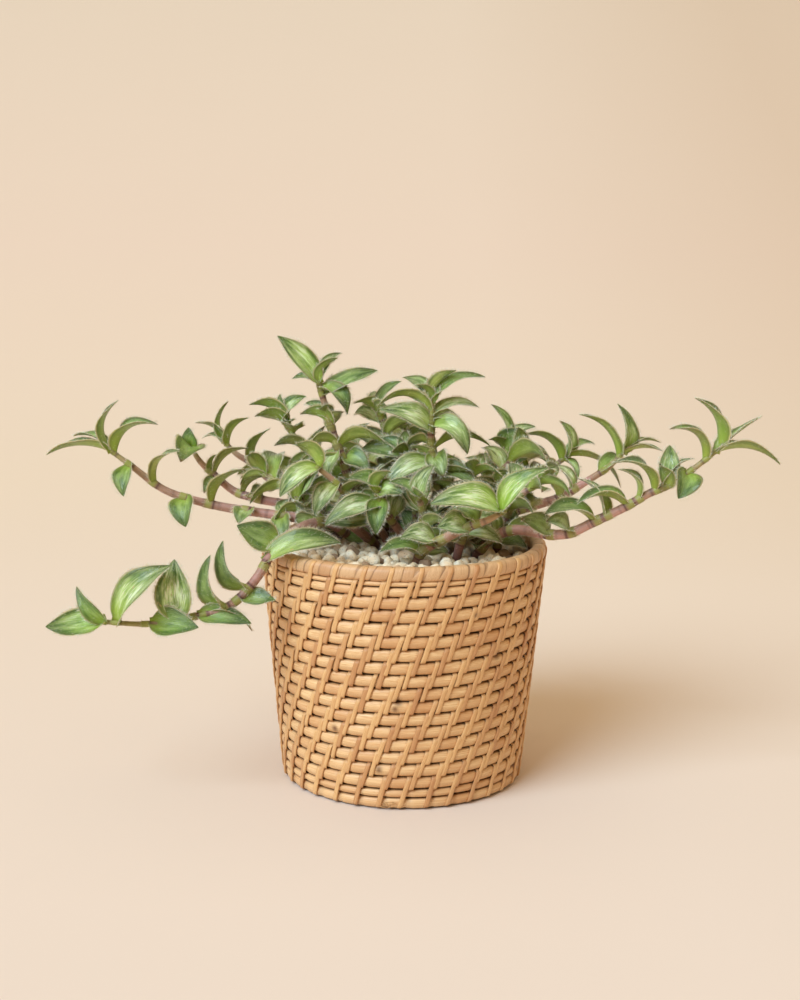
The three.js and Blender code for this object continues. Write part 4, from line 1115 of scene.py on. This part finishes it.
def add_stem(shape, plant, curve, leaves, draws):
    """The stem from its foot in the soil, with a swollen ring and a sheath at each leaf."""
    shade = draws.random()
    fine = np.linspace(0, curve.last, max(30, int(curve.length() / STEM_STEP)))
    centre, along = curve.at(fine), curve.along(fine)
    along[0] = UP
    run = distances(centre)
    nodes = np.interp([leaf["place"] for leaf in leaves], fine, run)
    ring, sheath = rings_and_sheaths(run, nodes, draws)
    radius = plant["radius"] + (STEM_TIP_RADIUS - plant["radius"]) * (fine / curve.last) ** STEM_TAPER
    radius = radius * (1 + JOINT_SWELL * ring) + SHEATH_WALL * sheath
    foot = centre[0] - UP * (centre[0][2] - STEM_FOOT_Z)
    centre, along = np.vstack([foot, centre]), np.vstack([UP, along])
    grown = (np.concatenate([first, values]) for first, values in (
        ([-20], run), (radius[:1], radius), ([0], ring), ([0], sheath), ([0], fine / curve.last)))
    run, radius, ring, sheath, share = grown
    # painted shade at the foot, fading up the stem, carried in the ring value along with the joints' real
    # dark rings
    ring = np.maximum(ring, 0.85 * np.exp(-np.clip(run, 0, None) / PAINTED_FOOT_SHADE))
    green = np.clip(0.85 * sheath + share**7, 0, 1)
    turn = even_angles(STEM_SIDES)
    points = tube_points(centre, along, radius, turn)
    shape.add(points, tube_faces(points), STEM, run=run[:, None], round=turn, shade=shade,
              ring=(ring * (1 - 0.5 * green))[:, None], green=green[:, None],
              lime=plant.get("pale", PALE))
    stem_hairs(shape, draws, points, centre, along, run, nodes, curve.length())


def stem_hairs(shape, draws, points, centre, along, run, nodes, length):
    """A fringe at the end of each sheath, and shorter hairs all over."""
    for node in nodes:
        for end in np.flatnonzero(np.abs(run - node - FRINGE_PLACE) < 0.9)[:1]:
            out = draws.uniform(0.2, 0.7, (FRINGE, 1))
            spots = draws.integers(0, STEM_SIDES, FRINGE)
            ways = unit(points[end] - centre[end])[spots] * out + along[end]
            add_hairs(shape, draws, points[end][spots], ways, FRINGE_HAIR, HAIR_RADIUS)
    count = int(length * STEM_HAIRS)
    picks, spots = draws.integers(2, len(points), count), draws.integers(0, STEM_SIDES, count)
    roots = points[picks, spots]
    ways = unit(roots - centre[picks]) + along[picks] * draws.uniform(-0.1, 0.8, (count, 1))
    add_hairs(shape, draws, roots, ways, STEM_HAIR, HAIR_RADIUS * 0.8)


def leafy_piece(index, plant):
    """One stem with all its leaves; says how many of the solid's leaves it has."""
    draws = np.random.default_rng(PLANT_SEED + index)
    curve = Curve(plant["path"])
    solid_leaves = placed_leaves(plant, curve)
    leaves = solid_leaves + inner_leaves(plant, curve, solid_leaves, draws)
    leaves += [table_leaf(curve, UNLISTED, row) for row in plant.get("extra", [])]
    shape = Shape("across", "along", "under", "shade", "lime", "run", "round", "ring", "green")
    add_stem(shape, plant, curve, leaves, draws)
    lime, shades = plant.get("lime", {}), plant.get("shades", {})
    for leaf in leaves:
        young = max(0, leaf["place"] / curve.last - YOUNG) * 1.2 + draws.uniform(-0.1, 0.25)
        look = {"lime": np.clip(lime.get(leaf["number"], young), 0, 1),
                "shade": shades.get(leaf["number"], draws.random()),
                "twist": math.radians(draws.uniform(-BLADE_TWIST, BLADE_TWIST)),
                "phase": draws.random(), "fold": draws.uniform(*BLADE_FOLD)}
        add_leaf(shape, leaf, look, draws)
    shape.make(plant["name"] + "_fine", LEAF_MATERIALS, "foliage", plant["name"])
    return len(solid_leaves)


# ----- stage -----
def backdrop():
    """A sheet that lies flat under the pot and rises in a wide curve behind it."""
    arc = [math.radians(a) for a in range(0, 71, 2)]
    profile = [(-PAPER_HALF, 0)] + [(PAPER_FLAT + PAPER_BEND * math.sin(a), PAPER_BEND * (1 - math.cos(a)))
                                    for a in arc]
    sheet = Shape()
    sheet.add(np.array([[(x, y, z) for x in (-PAPER_HALF, PAPER_HALF)] for y, z in profile]),
              grid_faces(len(profile), 2))
    new_object("backdrop", sheet.mesh("backdrop", [backdrop_finish()]))


def soft_light(name, towards, spread, strength, colour):
    sun = bpy.data.lights.new(name, "SUN")
    sun.angle, sun.energy, sun.color = spread, strength, colour
    new_object(name, sun).rotation_euler = (-Vector(towards)).to_track_quat("-Z", "Y").to_euler()


def studio():
    world = bpy.data.worlds.new("studio")
    world.use_nodes = True
    sky = world.node_tree.nodes["Background"]
    sky.inputs["Color"].default_value = WORLD_COLOUR
    sky.inputs["Strength"].default_value = WORLD_STRENGTH
    bpy.context.scene.world = world
    soft_light("key", *KEY_LIGHT)
    soft_light("top", *TOP_LIGHT)
    bpy.context.scene.view_settings.view_transform = "Standard"


def camera():
    cy, sy = math.cos(CAMERA_YAW), math.sin(CAMERA_YAW)
    cp, sp = math.cos(CAMERA_PITCH), math.sin(CAMERA_PITCH)
    cr, sr = math.cos(CAMERA_ROLL), math.sin(CAMERA_ROLL)
    forward, right = Vector((sy * cp, cy * cp, -sp)), Vector((cy, -sy, 0))
    upward = right.cross(forward)
    axes = Matrix((cr * right + sr * upward, cr * upward - sr * right, -forward)).transposed()
    data = bpy.data.cameras.new("camera")
    data.lens, data.sensor_width = CAMERA_LENS, CAMERA_SENSOR
    data.clip_start, data.clip_end = 0.01, 20
    eye = new_object("camera", data)
    eye.location, eye.rotation_euler = Vector(CAMERA_PLACE) * MM, axes.to_euler()
    bpy.context.scene.camera = eye


# ----- assembly -----
camera()
studio()
backdrop()
plants = [{"name": "leafy_stem_" + name, **stem} for name, stem in STEMS.items()]
plants += [shoot_plant(index, name, row) for index, (name, row) in enumerate(SHOOTS.items())]
basket()
rim_hoop()
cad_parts["liner_pot"].data.materials.clear()
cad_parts["liner_pot"].data.materials.append(plastic_finish())
soil_bed()
pumice(plants)
placed = [leafy_piece(index, plant) for index, plant in enumerate(plants)]
print("leaves placed:", sum(placed), "of", sum(len(plant["leaves"]) for plant in plants))
